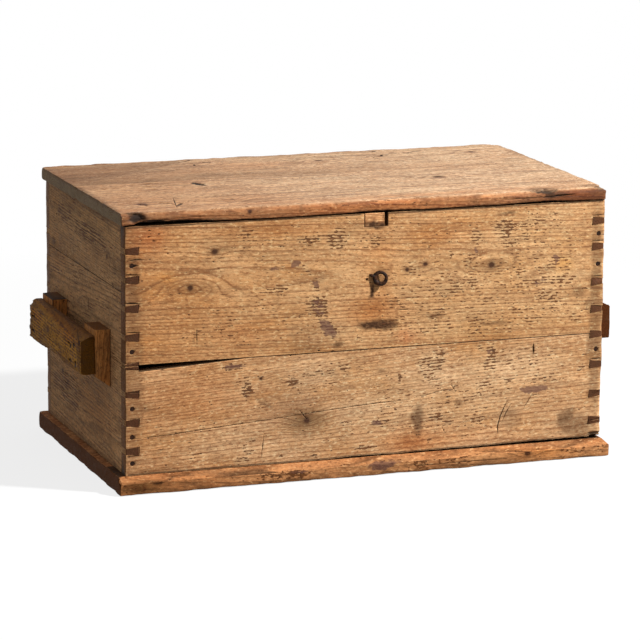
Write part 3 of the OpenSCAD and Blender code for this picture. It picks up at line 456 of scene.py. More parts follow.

# Each board's kind and its own values: the heart line's place and slope, how far the pith lies behind
# the face, the width of a year's ring, and what differs from its kind. Extra cuts lines into a face, dark
# is a strip of painted shade in the gaps under the lid and the carcase, tight and dirt keep a joint
# clean, and nose is how far a rounded edge reaches.
boardPlans = {
    "front_upper_board": {"kind": "front", "heart": 405, "slope": -.03, "pith": 58, "ring": 6.2,
                          "shown": [(1, 0), (2, 524)], "tone": "#f6f0e4", "tight": [(480, 528, 503, 530)],
                          "dark": [(2, 524, 1, .5, 26, .95)]},
    "front_lower_board": {"kind": "front", "heart": 20, "slope": .05, "pith": 46, "ring": 6.0,
                          "shown": [(1, 0), (2, 36)]},
    "front_patch": {"kind": "front", "heart": 560, "slope": 0, "pith": 30, "ring": 3.4, "grid": (4, 4),
                    "tone": "#fff2e4", "dirt": .1},
    "back_upper_board": {"kind": "back", "heart": 430, "slope": .02, "pith": 70, "ring": 5.5},
    "back_lower_board": {"kind": "back", "heart": 150, "slope": -.03, "pith": 40, "ring": 4.8},
    "left_side_upper_board": {"kind": "left", "heart": 560, "slope": .02, "pith": 40, "ring": 4.6},
    "left_side_middle_board": {"kind": "left", "heart": 320, "slope": -.03, "pith": 52, "ring": 5},
    "left_side_lower_board": {"kind": "left", "heart": 90, "slope": .04, "pith": 44, "ring": 5},
    "right_side_upper_board": {"kind": "right", "heart": 470, "slope": .03, "pith": 40, "ring": 5},
    "right_side_middle_board": {"kind": "right", "heart": 300, "slope": -.02, "pith": 60, "ring": 5.4},
    "right_side_lower_board": {"kind": "right", "heart": 60, "slope": .03, "pith": 36, "ring": 5},
    "base_front_board": {"kind": "base", "heart": 60, "slope": .02, "pith": 50, "ring": 5,
                         "shown": [(1, -15), (0, -15), (0, 1015), (2, 36)], "grid": (5, 4),
                         "extra": [((2, 36), 1, [.4, 1.2])], "dark": [(2, 36, 1, .5, 90, .9)]},
    "base_second_board": {"kind": "base", "heart": 200, "slope": .02, "pith": 50, "ring": 5},
    "base_third_board": {"kind": "base", "heart": 420, "slope": 0, "pith": 40, "ring": 4.6},
    "base_back_board": {"kind": "base", "heart": 520, "slope": -.02, "pith": 44, "ring": 5,
                        "shown": [(0, -15), (0, 1015), (1, 575), (2, 36)], "grid": (6, 5)},
    "lid_front_board": {"kind": "lid", "heart": 70, "slope": .03, "pith": 60, "ring": 5,
                        "shown": [(2, 550), (1, -4), (0, -7), (0, 1000), (2, 524)], "grid": (4, 3),
                        "nose": 12.5},
    "lid_middle_board": {"kind": "lid", "heart": 230, "slope": -.02, "pith": 46, "ring": 4.6},
    "lid_back_board": {"kind": "lid", "heart": 480, "slope": .02, "pith": 54, "ring": 5.2,
                       "shown": [(2, 550), (0, -7), (0, 1000), (1, 568)], "grid": (5, 4)},
    "lid_left_batten": {"kind": "batten", "heart": 125, "slope": .02, "pith": 30, "ring": 4},
    "lid_right_batten": {"kind": "batten", "heart": 875, "slope": .02, "pith": 34, "ring": 4},
    "left_handle_bar": {"kind": "bar", "heart": 250, "slope": .03, "pith": 26, "ring": 4,
                        "shown": [(0, -61), (1, 97), (1, 488), (2, 294), (2, 217)], "tone": "#f0f6b6"},
    "left_handle_front_block": {"kind": "block", "heart": 130, "slope": .03, "pith": 30, "ring": 4,
                                "shown": [(1, 97), (0, -31)]},
    "left_handle_back_block": {"kind": "block", "heart": 440, "slope": .03, "pith": 30, "ring": 4,
                               "shown": [(1, 402), (0, -31)]},
    "right_handle_bar": {"kind": "bar", "face": 1061, "heart": 260, "slope": -.03, "pith": 30, "ring": 4,
                         "shown": [(0, 1061), (1, 97), (2, 294)], "grid": (6, 5), "tone": "#b29c86"},
    "right_handle_front_block": {"kind": "block", "face": 1031, "heart": 130, "slope": .03, "pith": 30,
                                 "ring": 4, "shown": [(1, 97)], "grid": (5, 5)},
    "right_handle_back_block": {"kind": "block", "face": 1031, "heart": 440, "slope": .03, "pith": 30,
                                "ring": 4, "shown": [(1, 478)], "grid": (5, 5)},
}
boards = {name: {**boardKinds[own["kind"]], **own} for name, own in boardPlans.items()}


def onFace(place, axis, value, slack=.05):
    return abs(place[axis] - value) < slack


def gridCut(bm, shown, axis, places):
    # halves the row of places each time, so that a cut only visits faces it can cross
    if not places or not shown:
        return list(shown)
    middle = places[len(places) // 2]
    normal = Vector([1.0 if i == axis else 0.0 for i in range(3)])
    parts = set(shown)
    for face in shown:
        parts.update(face.verts)
        parts.update(face.edges)
    found = bmesh.ops.bisect_plane(bm, geom=list(parts), dist=1e-7, plane_co=normal * middle, plane_no=normal)
    low = []
    high = []
    for part in found["geom"]:
        if isinstance(part, bmesh.types.BMFace):
            (low if part.calc_center_bounds()[axis] < middle else high).append(part)
    half = len(places) // 2
    return gridCut(bm, low, axis, places[:half]) + gridCut(bm, high, axis, places[half + 1:])


def steps(low, high, step):
    count = int((high - low) / step)
    return [low + (i + .5) * (high - low) / max(count, 1) for i in range(count)]


def stretch(first, second):
    # whether the stretch runs up more than across, and its ends with the longer way first
    turned = int(abs(second[0] - first[0]) < abs(second[1] - first[1]))
    start, end = [(p[turned], p[1 - turned], p[2]) for p in (first, second)]
    if start[0] > end[0]:
        start, end = end, start
    return turned, start, end


# The faces of a board are looked up by squares of this many mm, so that a cut only looks at its neighbours.
square = 24


def cutLines(bm, marks, cuts, lo, hi):
    # four lines for each stretch of a split: its two edges and the two sides of its floor
    axis, value = marks["plane"]
    u, v = marks["u"], marks["v"]
    out = Vector([1.0 if i == axis else 0.0 for i in range(3)])
    cells = {}

    def keep(found):
        for face in found:
            centre = face.calc_center_bounds() * 1000 + Vector(corner)
            if abs(centre[axis] - value) < .05:
                cells.setdefault((centre[u] // square, centre[v] // square), set()).add(face)

    keep(bm.faces)
    for depth, dark, points in cuts:
        for first, second in zip(points, points[1:]):
            turned, start, end = stretch(first, second)
            along, over = (v, u) if turned else (u, v)
            if end[0] < lo[along] or start[0] > hi[along]:
                continue
            wide = max(start[2], end[2]) + 4.5
            low = (min(first[0], second[0]) - wide, min(first[1], second[1]) - wide)
            high = (max(first[0], second[0]) + wide, max(first[1], second[1]) + wide)
            near = set()
            for a in range(int(low[0] // square) - 1, int(high[0] // square) + 2):
                for b in range(int(low[1] // square) - 1, int(high[1] // square) + 2):
                    near.update(cells.get((a, b), ()))
            span = max(end[0] - start[0], .5)
            picked = []
            for face in near:
                centre = face.calc_center_bounds() * 1000 + Vector(corner)
                t = (centre[along] - start[0]) / span
                if -9 / span < t < 1 + 9 / span:
                    if abs(centre[over] - start[1] - (end[1] - start[1]) * t) < wide + 3:
                        picked.append(face)
            if not picked:
                continue
            for limit in (start[0], end[0]):
                picked = gridCut(bm, picked, along, [(limit - corner[along]) / 1000])
            keep(picked)
            inside = [f for f in picked
                      if start[0] <= f.calc_center_bounds()[along] * 1000 + corner[along] <= end[0]]
            for share in (-1, -.5, .5, 1):
                a = Vector((0, 0, 0))
                b = Vector((0, 0, 0))
                a[along], a[over], a[axis] = start[0], start[1] + start[2] * share, value
                b[along], b[over], b[axis] = end[0], end[1] + end[2] * share, value
                a = (a - Vector(corner)) / 1000
                b = (b - Vector(corner)) / 1000
                parts = set(inside)
                for face in inside:
                    parts.update(face.verts)
                    parts.update(face.edges)
                found = bmesh.ops.bisect_plane(bm, geom=list(parts), dist=1e-6, plane_co=a,
                                               plane_no=(b - a).cross(out).normalized())
                inside = [g for g in found["geom"] if isinstance(g, bmesh.types.BMFace)]
            keep(inside)


def inMark(across, up, mark):
    # how far out a point lies in a tilted mark, 1 on its rim, as a square
    turn = math.radians(mark[4])
    du = across - mark[0]
    dv = up - mark[1]
    a = (du * math.cos(turn) + dv * math.sin(turn)) / mark[2]
    b = (-du * math.sin(turn) + dv * math.cos(turn)) / mark[3]
    return a * a + b * b


def ellipse(across, up, mark):
    # 1 inside, fading out over the rim
    return 1 - fade(np.sqrt(inMark(across, up, mark)), .55, 1.35)


def softSpot(across, up, mark):
    # fades all the way from its middle, for changes of tone
    return np.exp(-.9 * inMark(across, up, mark))


# Edges worn by handling: two planes that meet there, how far in it reaches, and how deep, in mm.
wornEdges = [
    ((1, -4), (2, 550), 9, 2.2), ((0, -7), (2, 550), 8, 2.4), ((0, 1000), (2, 550), 8, 2.2),
    ((1, 568), (2, 550), 8, 2.4), ((1, -4), (0, -7), 9, 3.0), ((1, -4), (0, 1000), 9, 3.0),
    ((1, -4), (2, 524), 6, 1.2), ((0, -7), (2, 524), 6, 1.4), ((1, 568), (0, -7), 9, 2.0),
    ((1, 0), (0, 0), 7, 1.4), ((1, 0), (0, 1000), 7, 1.4), ((1, 560), (0, 0), 7, 1.4),
    ((1, 560), (0, 1000), 7, 1.4),
    ((1, -15), (2, 0), 8, 2.0), ((0, -15), (2, 0), 8, 2.4), ((0, -15), (2, 36), 8, 3.0),
    ((1, -15), (0, -15), 10, 3.5),
    ((0, 1015), (2, 0), 8, 2.4), ((1, -15), (0, 1015), 10, 3.0), ((1, 575), (0, -15), 10, 3.0),
    ((1, 575), (2, 36), 8, 2.4), ((1, 575), (2, 0), 8, 2.4),
    ((0, -61), (1, 97), 10, 3.5), ((0, -61), (1, 488), 14, 4.0), ((0, -61), (2, 217), 9, 2.4),
    ((2, 294), (1, 97), 8, 2.5), ((0, -31), (1, 97), 8, 2.5), ((2, 294), (1, 488), 8, 3.0),
    ((2, 217), (1, 97), 8, 2.5),
    ((0, 1061), (1, 97), 10, 3.5), ((0, 1061), (1, 488), 12, 4.0), ((0, 1061), (2, 217), 9, 3.0),
]

# Bigger damage: centre, radii, which way and how far it is pushed in, and how much darker it is drawn.
losses = {
    "lid_front_board": [((22, -4, 540), (20, 14, 12), (0, 6, -1), .85),
                        ((60, -4, 527), (30, 12, 5), (0, 4, 2), .5),
                        ((868, -2, 552), (36, 20, 9), (0, 1, -5), .9),
                        ((1000, 10, 550), (26, 20, 9), (-3, 0, -3), .5),
                        ((420, -4, 552), (40, 8, 6), (0, 1, -1.6), .1),
                        ((655, -4, 552), (30, 8, 6), (0, 1, -1.4), .1)],
    "lid_back_board": [((1000, 568, 550), (22, 24, 30), (-4, -4, -1), .1)],
    "base_front_board": [((-15, -15, 36), (16, 14, 20), (3, 3, -2), .2),
                         ((720, -15, 36), (60, 10, 8), (0, 2, -1.5), .1)],
    "left_handle_bar": [((-61, 488, 256), (18, 22, 50), (5, -8, 0), .1),
                        ((-61, 300, 217), (10, 80, 10), (2, 0, 2), 0)],
    "front_lower_board": [((985, -2, 40), (18, 8, 9), (0, 3, 2), .8)],
}

# Gaps that open along an edge: the edge's plane, where the gap starts at the front, how far it
# reaches in, and its height at places along the board.
openings = {
    "lid_front_board": {"plane": (2, 524), "from": -4, "reach": 34,
                        "rise": [(-7, 1.5), (20, 4), (30, 8.5), (110, 8), (160, 5), (200, 2.6), (330, 1.6),
                                 (440, 2),
                                 (485, 4.2), (540, 4.2), (600, 2), (780, 1.8), (820, 3.6), (880, 5),
                                 (906, 3.4),
                                 (930, 1.4), (1000, 1.2)]},
    "front_lower_board": {"plane": (2, 36), "from": 0, "reach": 22,
                          "rise": [(0, .4), (300, .8), (420, 1.2), (450, 3), (520, 2.8), (560, 1.6), (600, 3),
                                   (760, 3.2), (800, 4.5), (960, 5), (1000, 7)]},
}
print("plans read:", len(boards), "boards")


def woodPlaces(plan, places, seed):
    # a point's place in its tree: along the grain, across from the heart line, and out from the pith
    grain, across, through = plan["axes"]
    outward = 1 if plan["face"] > (10 if through == 2 else 280 if through == 1 else 500) else -1
    along = places[:, grain]
    sideways = places[:, across] - plan["heart"] - plan["slope"] * (along - 400)
    depth = outward * (plan["face"] - places[:, through])
    return np.stack([along + seed * 1700.0, sideways, plan["pith"] - depth + .012 * along], axis=1)


# Widths in metres: of an arris worn by handling, of one in a joint, and the shortest edge that is taken
# down; the least angle in radians of such an edge; and how many mm off its two planes it may then lie.
wearPlan = {"worn": .0018, "joined": .0011, "shortest": .008, "sharp": .7, "nose": 3}


def takeArrisesDown(bm):
    worn = []
    joined = []
    for edge in bm.edges:
        flat = len(edge.link_faces) != 2 or edge.calc_face_angle(0) < wearPlan["sharp"]
        if flat or edge.calc_length() < wearPlan["shortest"]:
            continue
        middle = (edge.verts[0].co + edge.verts[1].co) * 500 + Vector(corner)
        outer = any(onFace(middle, *a) and onFace(middle, *b) for a, b, reach, deep in wornEdges)
        (worn if outer else joined).append(edge)
    if worn:
        bmesh.ops.bevel(bm, geom=worn, offset=wearPlan["worn"], offset_type="OFFSET", segments=3,
                        profile=.5, affect="EDGES", clamp_overlap=False)
    joined = [e for e in joined if e.is_valid]
    bmesh.ops.bevel(bm, geom=joined, offset=wearPlan["joined"], offset_type="OFFSET", segments=1, profile=.5,
                    affect="EDGES", clamp_overlap=False)
    bm.normal_update()


def gridShown(bm, plan, lo, hi):
    # the shown faces and the rounded edges get a fine grid, so that both can wear
    coarse = 1
    nose = plan.get("nose", wearPlan["nose"])
    rounded = []
    for face in bm.faces:
        centre = face.calc_center_bounds() * 1000 + Vector(corner)
        if max(abs(c) for c in face.normal) < .999:
            if any(onFace(centre, *a, nose) and onFace(centre, *b, nose) for a, b, reach, deep in wornEdges):
                rounded.append(face)
    grain = plan["axes"][0]
    for i in range(3):
        step = plan["grid"][0 if i == grain else 1] * coarse
        rounded = gridCut(bm, rounded, i, [(p - corner[i]) / 1000 for p in steps(lo[i], hi[i], step)])
    for axis, value in plan["shown"]:
        shown = [f for f in bm.faces if onFace(f.calc_center_bounds() * 1000 + Vector(corner), axis, value)]
        for i in [i for i in range(3) if i != axis]:
            step = plan["grid"][0 if i == grain else 1] * coarse
            shown = gridCut(bm, shown, i, [(p - corner[i]) / 1000 for p in steps(lo[i], hi[i], step)])
    for plane, across, lines in plan.get("extra", []):
        shown = [f for f in bm.faces if onFace(f.calc_center_bounds() * 1000 + Vector(corner), *plane)]
        gridCut(bm, shown, across, [(p - corner[across]) / 1000 for p in lines])


def sinkCuts(cuts, across, up, on, plane, places, colours):
    # the floor of each split lies deep, shallower where the split is narrow, and is painted dark as the shade
    # in it
    axis, value = plane
    inward = -1 if value > (10 if axis == 2 else 0) else 1
    for depth, dark, points in cuts:
        widest = max(p[2] for p in points)
        for first, second in zip(points, points[1:]):
            turned, a, b = stretch(first, second)
            along, over = (up, across) if turned else (across, up)
            t = (along - a[0]) / max(b[0] - a[0], .01)
            here = on & (t > -.001) & (t < 1.001)
            t = np.clip(t, 0, 1)
            half = a[2] + (b[2] - a[2]) * t
            off = abs(over - a[1] - (b[1] - a[1]) * t) / np.maximum(half, .05)
            floor = here & (off < .75)
            deep = depth * np.minimum(half / widest, 1)
            places[floor, axis] = (value + inward * deep)[floor]
            colours[floor, 3] = np.maximum(colours[floor, 3], dark)


def markFaces(lo, hi, start, places, colours, tints):
    # lays every mark on the board's vertices, and gives back its knots and how they push the rings
    knotAt = np.zeros((len(start), 3))
    ringPush = np.zeros(len(start))
    for marks, cuts in faces:
        axis, value = marks["plane"]
        if not (onFace(lo, axis, value) or onFace(hi, axis, value)):
            continue
        near = 1 - fade(abs(start[:, axis] - value), 1.0, 9.0)
        on = abs(start[:, axis] - value) < .05
        across = start[:, marks["u"]]
        up = start[:, marks["v"]]
        shakenAcross = across + 3.5 * waves(start, 34, 71) + 2.2 * waves(start, 13, 72)
        shakenUp = up + 2.4 * waves(start, 30, 73) + 1.5 * waves(start, 12, 74)
        for channel, kind in ((0, "residue"), (1, "stainAndShadow"), (2, "blotch")):
            for mark in marks[kind]:
                share = ellipse(shakenAcross, shakenUp, mark) * mark[5] * near
                colours[:, channel] = np.maximum(colours[:, channel], share)
        for mark in marks["tint"]:
            share = (softSpot(shakenAcross, shakenUp, mark) * mark[6] * near)[:, None]
            tints[:, :3] *= 1 - share + share * np.array(hexColour(mark[5])[:3])
        for x, z, wide, tall, push, spreadAcross, spreadUp in marks["knots"]:
            du = across - x
            dv = up - z
            ringPush += push * np.exp(-(du / spreadAcross) ** 2 - (dv / spreadUp) ** 2)
            closeBy = (abs(du) < wide * 4) & (abs(dv) < tall * 4) & (near > .2)
            knotAt[closeBy, 0] = (du / wide)[closeBy]
            knotAt[closeBy, 1] = (dv / tall)[closeBy]
            knotAt[closeBy, 2] = (1 - fade(np.maximum(abs(du) / wide, abs(dv) / tall), 2.4, 3.6))[closeBy]
        sinkCuts(cuts, across, up, on, marks["plane"], places, colours)
    return knotAt, ringPush


def darkenJoints(plan, start, colours):
    # dirt lies in the joints: the taken-down arrises are dark below the face
    nose = plan.get("nose", wearPlan["nose"])
    for axis, value in plan["shown"]:
        depth = abs(start[:, axis] - value)
        sunk = (depth > .3) & (depth < 1.6)
        for a, b, reach, deep in wornEdges:
            sunk &= ~((abs(start[:, a[0]] - a[1]) < nose) & (abs(start[:, b[0]] - b[1]) < nose))
        clean = np.zeros(len(start), bool)
        for a, b, c, d in plan.get("tight", []):
            clean |= (start[:, 0] > a) & (start[:, 0] < b) & (start[:, 2] > c) & (start[:, 2] < d)
        colours[sunk, 3] = np.maximum(colours[sunk, 3], np.where(clean[sunk], .1, plan.get("dirt", 1)))
    # the dark strips are painted shade, on board tops inside the gaps under the lid and under the carcase
    for axis, value, across, first, last, dark in plan.get("dark", []):
        inDark = (abs(start[:, axis] - value) < .05) & (start[:, across] > first) & (start[:, across] < last)
        colours[inDark, 3] = np.maximum(colours[inDark, 3], dark)


def wearAway(name, seed, lo, hi, start, places, normals, colours, tints):
    # hand-planed faces are never flat: a shallow swell, always inwards
    swell = .28 + .16 * waves(start, 70, seed)
    swell = swell + .09 * waves(start, 22, seed + 1) + .05 * waves(start, 9, seed + 2)
    places -= normals * np.clip(swell, 0, .8)[:, None]
    for a, b, reach, deep in wornEdges:
        da = abs(start[:, a[0]] - a[1])
        db = abs(start[:, b[0]] - b[1])
        close = (da < reach) & (db < reach)
        if not close.any():
            continue
        amount = .4 + .35 * waves(start, 60, seed + 5) + .12 * waves(start, 21, seed + 6)
        amount = np.clip(amount, 0, 1.2) * deep * (1 - da / reach) * (1 - db / reach)
        rubbed = np.where(close, np.clip(amount / deep, 0, 1), 0)
        tints[:, :3] *= (1 + .2 * rubbed)[:, None]
        for axis, value in (a, b):
            middle = (lo[axis] + hi[axis]) / 2
            places[close, axis] += (amount * (1 if value < middle else -1))[close]
    for centre, radii, way, dark in losses.get(name, []):
        gone = np.sqrt((((start - np.array(centre)) / np.array(radii)) ** 2).sum(1))
        ragged = gone + .14 * waves(start, 14, seed + 9) + .04 * waves(start, 6, seed + 10)
        share = 1 - fade(ragged, .55, 1.05)
        places += share[:, None] * np.array(way) * (1 + .12 * waves(start, 16, seed + 11))[:, None]
        colours[:, 3] = np.maximum(colours[:, 3], share * dark)


def openGap(gap, seed, start, places, colours):
    # lifts the edge from the front inwards; its underside is painted dark, as shade, as far as the gap
    # reaches
    axis, value = gap["plane"]
    rise = np.interp(start[:, 0], [p[0] for p in gap["rise"]], [p[1] for p in gap["rise"]])
    rise *= 1 + .12 * waves(start, 14, seed + 12)
    into = start[:, 1] - gap["from"]
    back = np.clip(1 - into / gap["reach"], 0, 1)
    height = np.clip(1 - (start[:, axis] - value) / 14, 0, 1)
    places[:, axis] += rise * back * height
    under = (abs(start[:, axis] - value) < .05) & (into > .5)
    colours[under, 3] = np.maximum(colours[under, 3], .95 * (1 - fade(into[under], 22, 60)))


def wornBoard(name, plan, seed):
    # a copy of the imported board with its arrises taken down, its splits opened and its edges worn
    bm = bmesh.new()
    bm.from_mesh(frame["nodes"][name].data)
    bmesh.ops.remove_doubles(bm, verts=bm.verts[:], dist=2e-6)
    bmesh.ops.dissolve_limit(bm, angle_limit=math.radians(1), verts=bm.verts[:], edges=bm.edges[:])
    bm.normal_update()
    lo, hi = [[c * 1000 for c in Vector(corner / 1000) + p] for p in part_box(name)]
    takeArrisesDown(bm)
    gridShown(bm, plan, lo, hi)
    for marks, cuts in faces:
        if onFace(lo, *marks["plane"]) or onFace(hi, *marks["plane"]):
            cutLines(bm, marks, cuts, lo, hi)

    mesh = bpy.data.meshes.new(name + "_worn")
    bm.normal_update()
    bm.to_mesh(mesh)
    count = len(bm.verts)
    normals = np.array([v.normal for v in bm.verts])
    bm.free()
    raw = np.zeros(count * 3)
    mesh.vertices.foreach_get("co", raw)
    places = raw.reshape(-1, 3) * 1000 + corner
    start = places.copy()
    colours = np.zeros((count, 4))
    tints = np.ones((count, 4))
    tints[:, :3] = hexColour(plan.get("tone", "#ffffff"))[:3]
    knotAt, ringPush = markFaces(lo, hi, start, places, colours, tints)
    darkenJoints(plan, start, colours)
    wearAway(name, seed, lo, hi, start, places, normals, colours, tints)
    if name in openings:
        openGap(openings[name], seed, start, places, colours)
    places = np.clip(places, np.array(lo), np.array(hi))
    mesh.vertices.foreach_set("co", ((places - corner) / 1000).ravel())

    wood = woodPlaces(plan, start, seed)
    for label, kind, part, values in (("woodAt", "FLOAT_VECTOR", "vector", wood),
                                      ("knotAt", "FLOAT_VECTOR", "vector", knotAt),
                                      ("ringPush", "FLOAT", "value", ringPush),
                                      ("marks", "FLOAT_COLOR", "color", colours),
                                      ("tint", "FLOAT_COLOR", "color", tints)):
        layer = mesh.attributes.new(label, kind, "POINT")
        layer.data.foreach_set(part, values.ravel())
    facing = np.zeros(len(mesh.polygons) * 3)
    mesh.polygons.foreach_get("normal", facing)
    layer = mesh.attributes.new("endGrain", "FLOAT", "FACE")
    layer.data.foreach_set("value", (abs(facing.reshape(-1, 3)[:, plan["axes"][0]]) > .7).astype(float))
    mesh.update()
    mesh.shade_smooth()
    mesh.set_sharp_from_angle(angle=math.radians(32))
    piece = bpy.data.objects.new(name + "_worn", mesh)
    scene.collection.objects.link(piece)
    mesh.materials.append(finishes[plan["finish"]])
    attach(piece, frame["nodes"][name]["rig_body"])
    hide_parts(name)
    return piece


# Pine, sawn, planed by hand and left to wear for a century or more. The soft wood between the rings has
# worn down, so the hard late wood stands up in fine ridges; resin and daylight have turned it orange, and
# scraps of old paint are left in rows along the grain.
finishPlans = {
    "walls": {"name": "hand_planed_pine", "pale": "#e9ba8a", "mid": "#cf9760", "late": "#824c25",
              "end": "#7d5733",
              "fleck": "#f4d4a4", "ringStrength": .95, "grime": .14, "rough": .68},
    "ends": {"name": "pine_end_boards", "pale": "#eab078", "mid": "#ca9260", "late": "#5c3618",
             "end": "#553017",
             "fleck": "#e8c290", "ringStrength": .95, "grime": .36, "rough": .74,
             "grain": {"dash": ((40, 3, 3), 3, .6)}},
    "lid": {"name": "scrubbed_pine_lid", "pale": "#e8c096", "mid": "#cf9d72", "late": "#7c4a28",
            "end": "#8c7858",
            "fleck": "#f8dfbc", "ringStrength": 1.0, "grime": .3, "rough": .7},
    "base": {"name": "trodden_pine_base", "pale": "#d6945e", "mid": "#ae6b3c", "late": "#5c3214",
             "end": "#58300f",
             "fleck": "#e4b07a", "ringStrength": .9, "grime": .25, "rough": .75, "shine": .1},
    "inside": {"name": "rough_sawn_pine", "pale": "#cda67a", "mid": "#b98c5f", "late": "#936038",
               "end": "#80664a",
               "fleck": "#e0c096", "ringStrength": .6, "grime": .2, "rough": .8},
    "handles": {"name": "hand_darkened_pine", "pale": "#f0a762", "mid": "#c98244", "late": "#66390f",
                "end": "#74481c", "fleck": "#d89a58", "ringStrength": .8, "grime": .45, "rough": .7,
                "shine": .1},
}


# Uneven patterns in the wood: mm along the grain, across it and out from the pith, detail and roughness.
# Real fibres are about 0.1 mm wide; they are drawn 1.6 mm wide so that they show.
grainPlan = {
    "slow": ((260, 90, 90), 2, .5), "short": ((46, 16, 16), 3, .5), "fibre": ((60, 1.6, 1.6), 4, .65),
    "band": ((210, 13, 16), 3, .5), "patch": ((150, 62, 62), 4, .6), "mottle": ((14, 8, 8), 5, .7),
    "grit": ((9, 4.2, 4.2), 4, .62), "grime": ((80, 24, 24), 6, .72), "dash": ((9, 4, 4), 3, .6),
    "clump": ((40, 22, 22), 2, .5),
}


def grainPattern(tree, wood, size, detail, rough):
    spread = addNode(tree, "VectorMath", {"operation": "MULTIPLY", 1: tuple(1 / mm for mm in size)},
                     {0: wood})
    return addNode(tree, "TexNoise", {"Scale": 1, "Detail": detail, "Roughness": rough}, {"Vector": spread})


def pineFinish(look):
    material = bpy.data.materials.new(look["name"])
    material.use_nodes = True
    tree = material.node_tree
    tree.nodes.clear()
    wood = addNode(tree, "Attribute", {"attribute_name": "woodAt"}, out=1)
    push = addNode(tree, "Attribute", {"attribute_name": "ringPush"}, out=2)
    marks = addNode(tree, "Attribute", {"attribute_name": "marks"})
    shadeAndDirt = addNode(tree, "Attribute", {"attribute_name": "marks"}, out=3)
    knotPlace = addNode(tree, "Attribute", {"attribute_name": "knotAt"}, out=1)
    tint = addNode(tree, "Attribute", {"attribute_name": "tint"})
    endGrain = addNode(tree, "Attribute", {"attribute_name": "endGrain"}, out=2)
    residue = addNode(tree, "SeparateColor", links={0: marks})
    stainAndShadow = addNode(tree, "SeparateColor", links={0: marks}, out=1)
    blotch = addNode(tree, "SeparateColor", links={0: marks}, out=2)

    patterns = {**grainPlan, **look.get("grain", {})}
    grain = {key: grainPattern(tree, wood, *values) for key, values in patterns.items()}
    fibre, band, patch, mottle, grit = (grain[key] for key in ("fibre", "band", "patch", "mottle", "grit"))

    # year rings: distance from the pith, bent round the knots and by the tree's own unevenness
    crossways = addNode(tree, "VectorMath", {"operation": "MULTIPLY", 1: (0, 1, 1)}, {0: wood})
    radius = addNode(tree, "VectorMath", {"operation": "LENGTH"}, {0: crossways}, out=1)
    bend = addNode(tree, "Math", {"operation": "MULTIPLY_ADD", 1: 9, 2: -4.5}, {0: grain["slow"]})
    wiggle = addNode(tree, "Math", {"operation": "MULTIPLY_ADD", 1: 2.6, 2: -1.3}, {0: grain["short"]})
    pushed = addNode(tree, "Math", {"operation": "ADD"}, {0: radius, 1: push})
    bent = addNode(tree, "Math", {"operation": "ADD"}, {0: pushed, 1: bend})
    bent = addNode(tree, "Math", {"operation": "ADD"}, {0: bent, 1: wiggle})
    rings = addNode(tree, "Math", {"operation": "MULTIPLY"}, {0: bent, 1: addNode(
        tree, "Attribute", {"attribute_name": "ringsPerMm", "attribute_type": "OBJECT"}, out=2)})
    uneven = addNode(tree, "TexNoise", {"noise_dimensions": "1D", "Scale": .37, "Detail": 1}, {"W": rings})
    rings = addNode(tree, "Math", {"operation": "MULTIPLY_ADD", 1: 1.3}, {0: uneven, 2: rings})
    ringNumber = addNode(tree, "Math", {"operation": "FLOOR"}, {0: rings})
    ringPart = addNode(tree, "Math", {"operation": "FRACT"}, {0: rings})
    ringChance = addNode(tree, "TexWhiteNoise", {"noise_dimensions": "1D"}, {"W": ringNumber})
    ringForce = addNode(tree, "MapRange", {"To Min": .5, "To Max": 1}, {"Value": ringChance})
    late = addNode(tree, "ValToRGB", {"stops": [(0, .0), (.45, .06), (.68, .4), (.86, 1.0), (1, .2)]},
                   {0: ringPart})
    late = addNode(tree, "Math", {"operation": "MULTIPLY"}, {0: late, 1: ringForce})

    # from pale to mid wood in patches, with darker bands and years, and fibres all over
    patchShare = addNode(tree, "MapRange", {"From Min": .32, "From Max": .68}, {"Value": patch})
    tones = {"data_type": "RGBA", 6: hexColour(look["pale"]), 7: hexColour(look["mid"])}
    colour = addNode(tree, "Mix", tones, {0: patchShare}, out=2)
    bandShare = addNode(tree, "MapRange", {"From Min": .4, "From Max": .75, "To Max": .4}, {"Value": band})
    colour = addNode(tree, "Mix", {"data_type": "RGBA", 7: hexColour(look["late"])},
                     {0: bandShare, 6: colour}, out=2)
    lateShare = addNode(tree, "Math", {"operation": "MULTIPLY", 1: look["ringStrength"]}, {0: late})
    colour = addNode(tree, "Mix", {"data_type": "RGBA", 7: hexColour(look["late"])},
                     {0: lateShare, 6: colour}, out=2)
    fibreTone = addNode(tree, "MapRange", {"From Min": .3, "From Max": .7, "To Min": .74, "To Max": 1.16},
                        {"Value": fibre})
    mottleTone = addNode(tree, "MapRange", {"From Min": .3, "From Max": .7, "To Min": .74, "To Max": 1.18},
                         {"Value": mottle})
    tone = addNode(tree, "Math", {"operation": "MULTIPLY"}, {0: fibreTone, 1: mottleTone})
    colour = addNode(tree, "VectorMath", {"operation": "SCALE"}, {0: colour, "Scale": tone})

    # grit, torn fibres and bright flecks, up to 9 by 4 mm: paler worn wood and painted highlights on raised
    # grain, which are also painted over the ground among the old paint
    paleShare = addNode(tree, "MapRange", {"From Min": .44, "From Max": .33, "To Max": .7}, {"Value": grit})
    colour = addNode(tree, "Mix", {"data_type": "RGBA", 7: hexColour(look["fleck"])},
                     {0: paleShare, 6: colour}, out=2)
    darkShare = addNode(tree, "MapRange", {"From Min": .54, "From Max": .67, "To Max": .75}, {"Value": grit})
    colour = addNode(tree, "Mix", {"data_type": "RGBA", 7: hexColour(look["late"])},
                     {0: darkShare, 6: colour}, out=2)
    groundShare = addNode(tree, "Math", {"operation": "MULTIPLY", 1: .3}, {0: residue})
    colour = addNode(tree, "Mix", {"data_type": "RGBA", 7: hexColour(look["fleck"])},
                     {0: groundShare, 6: colour}, out=2)

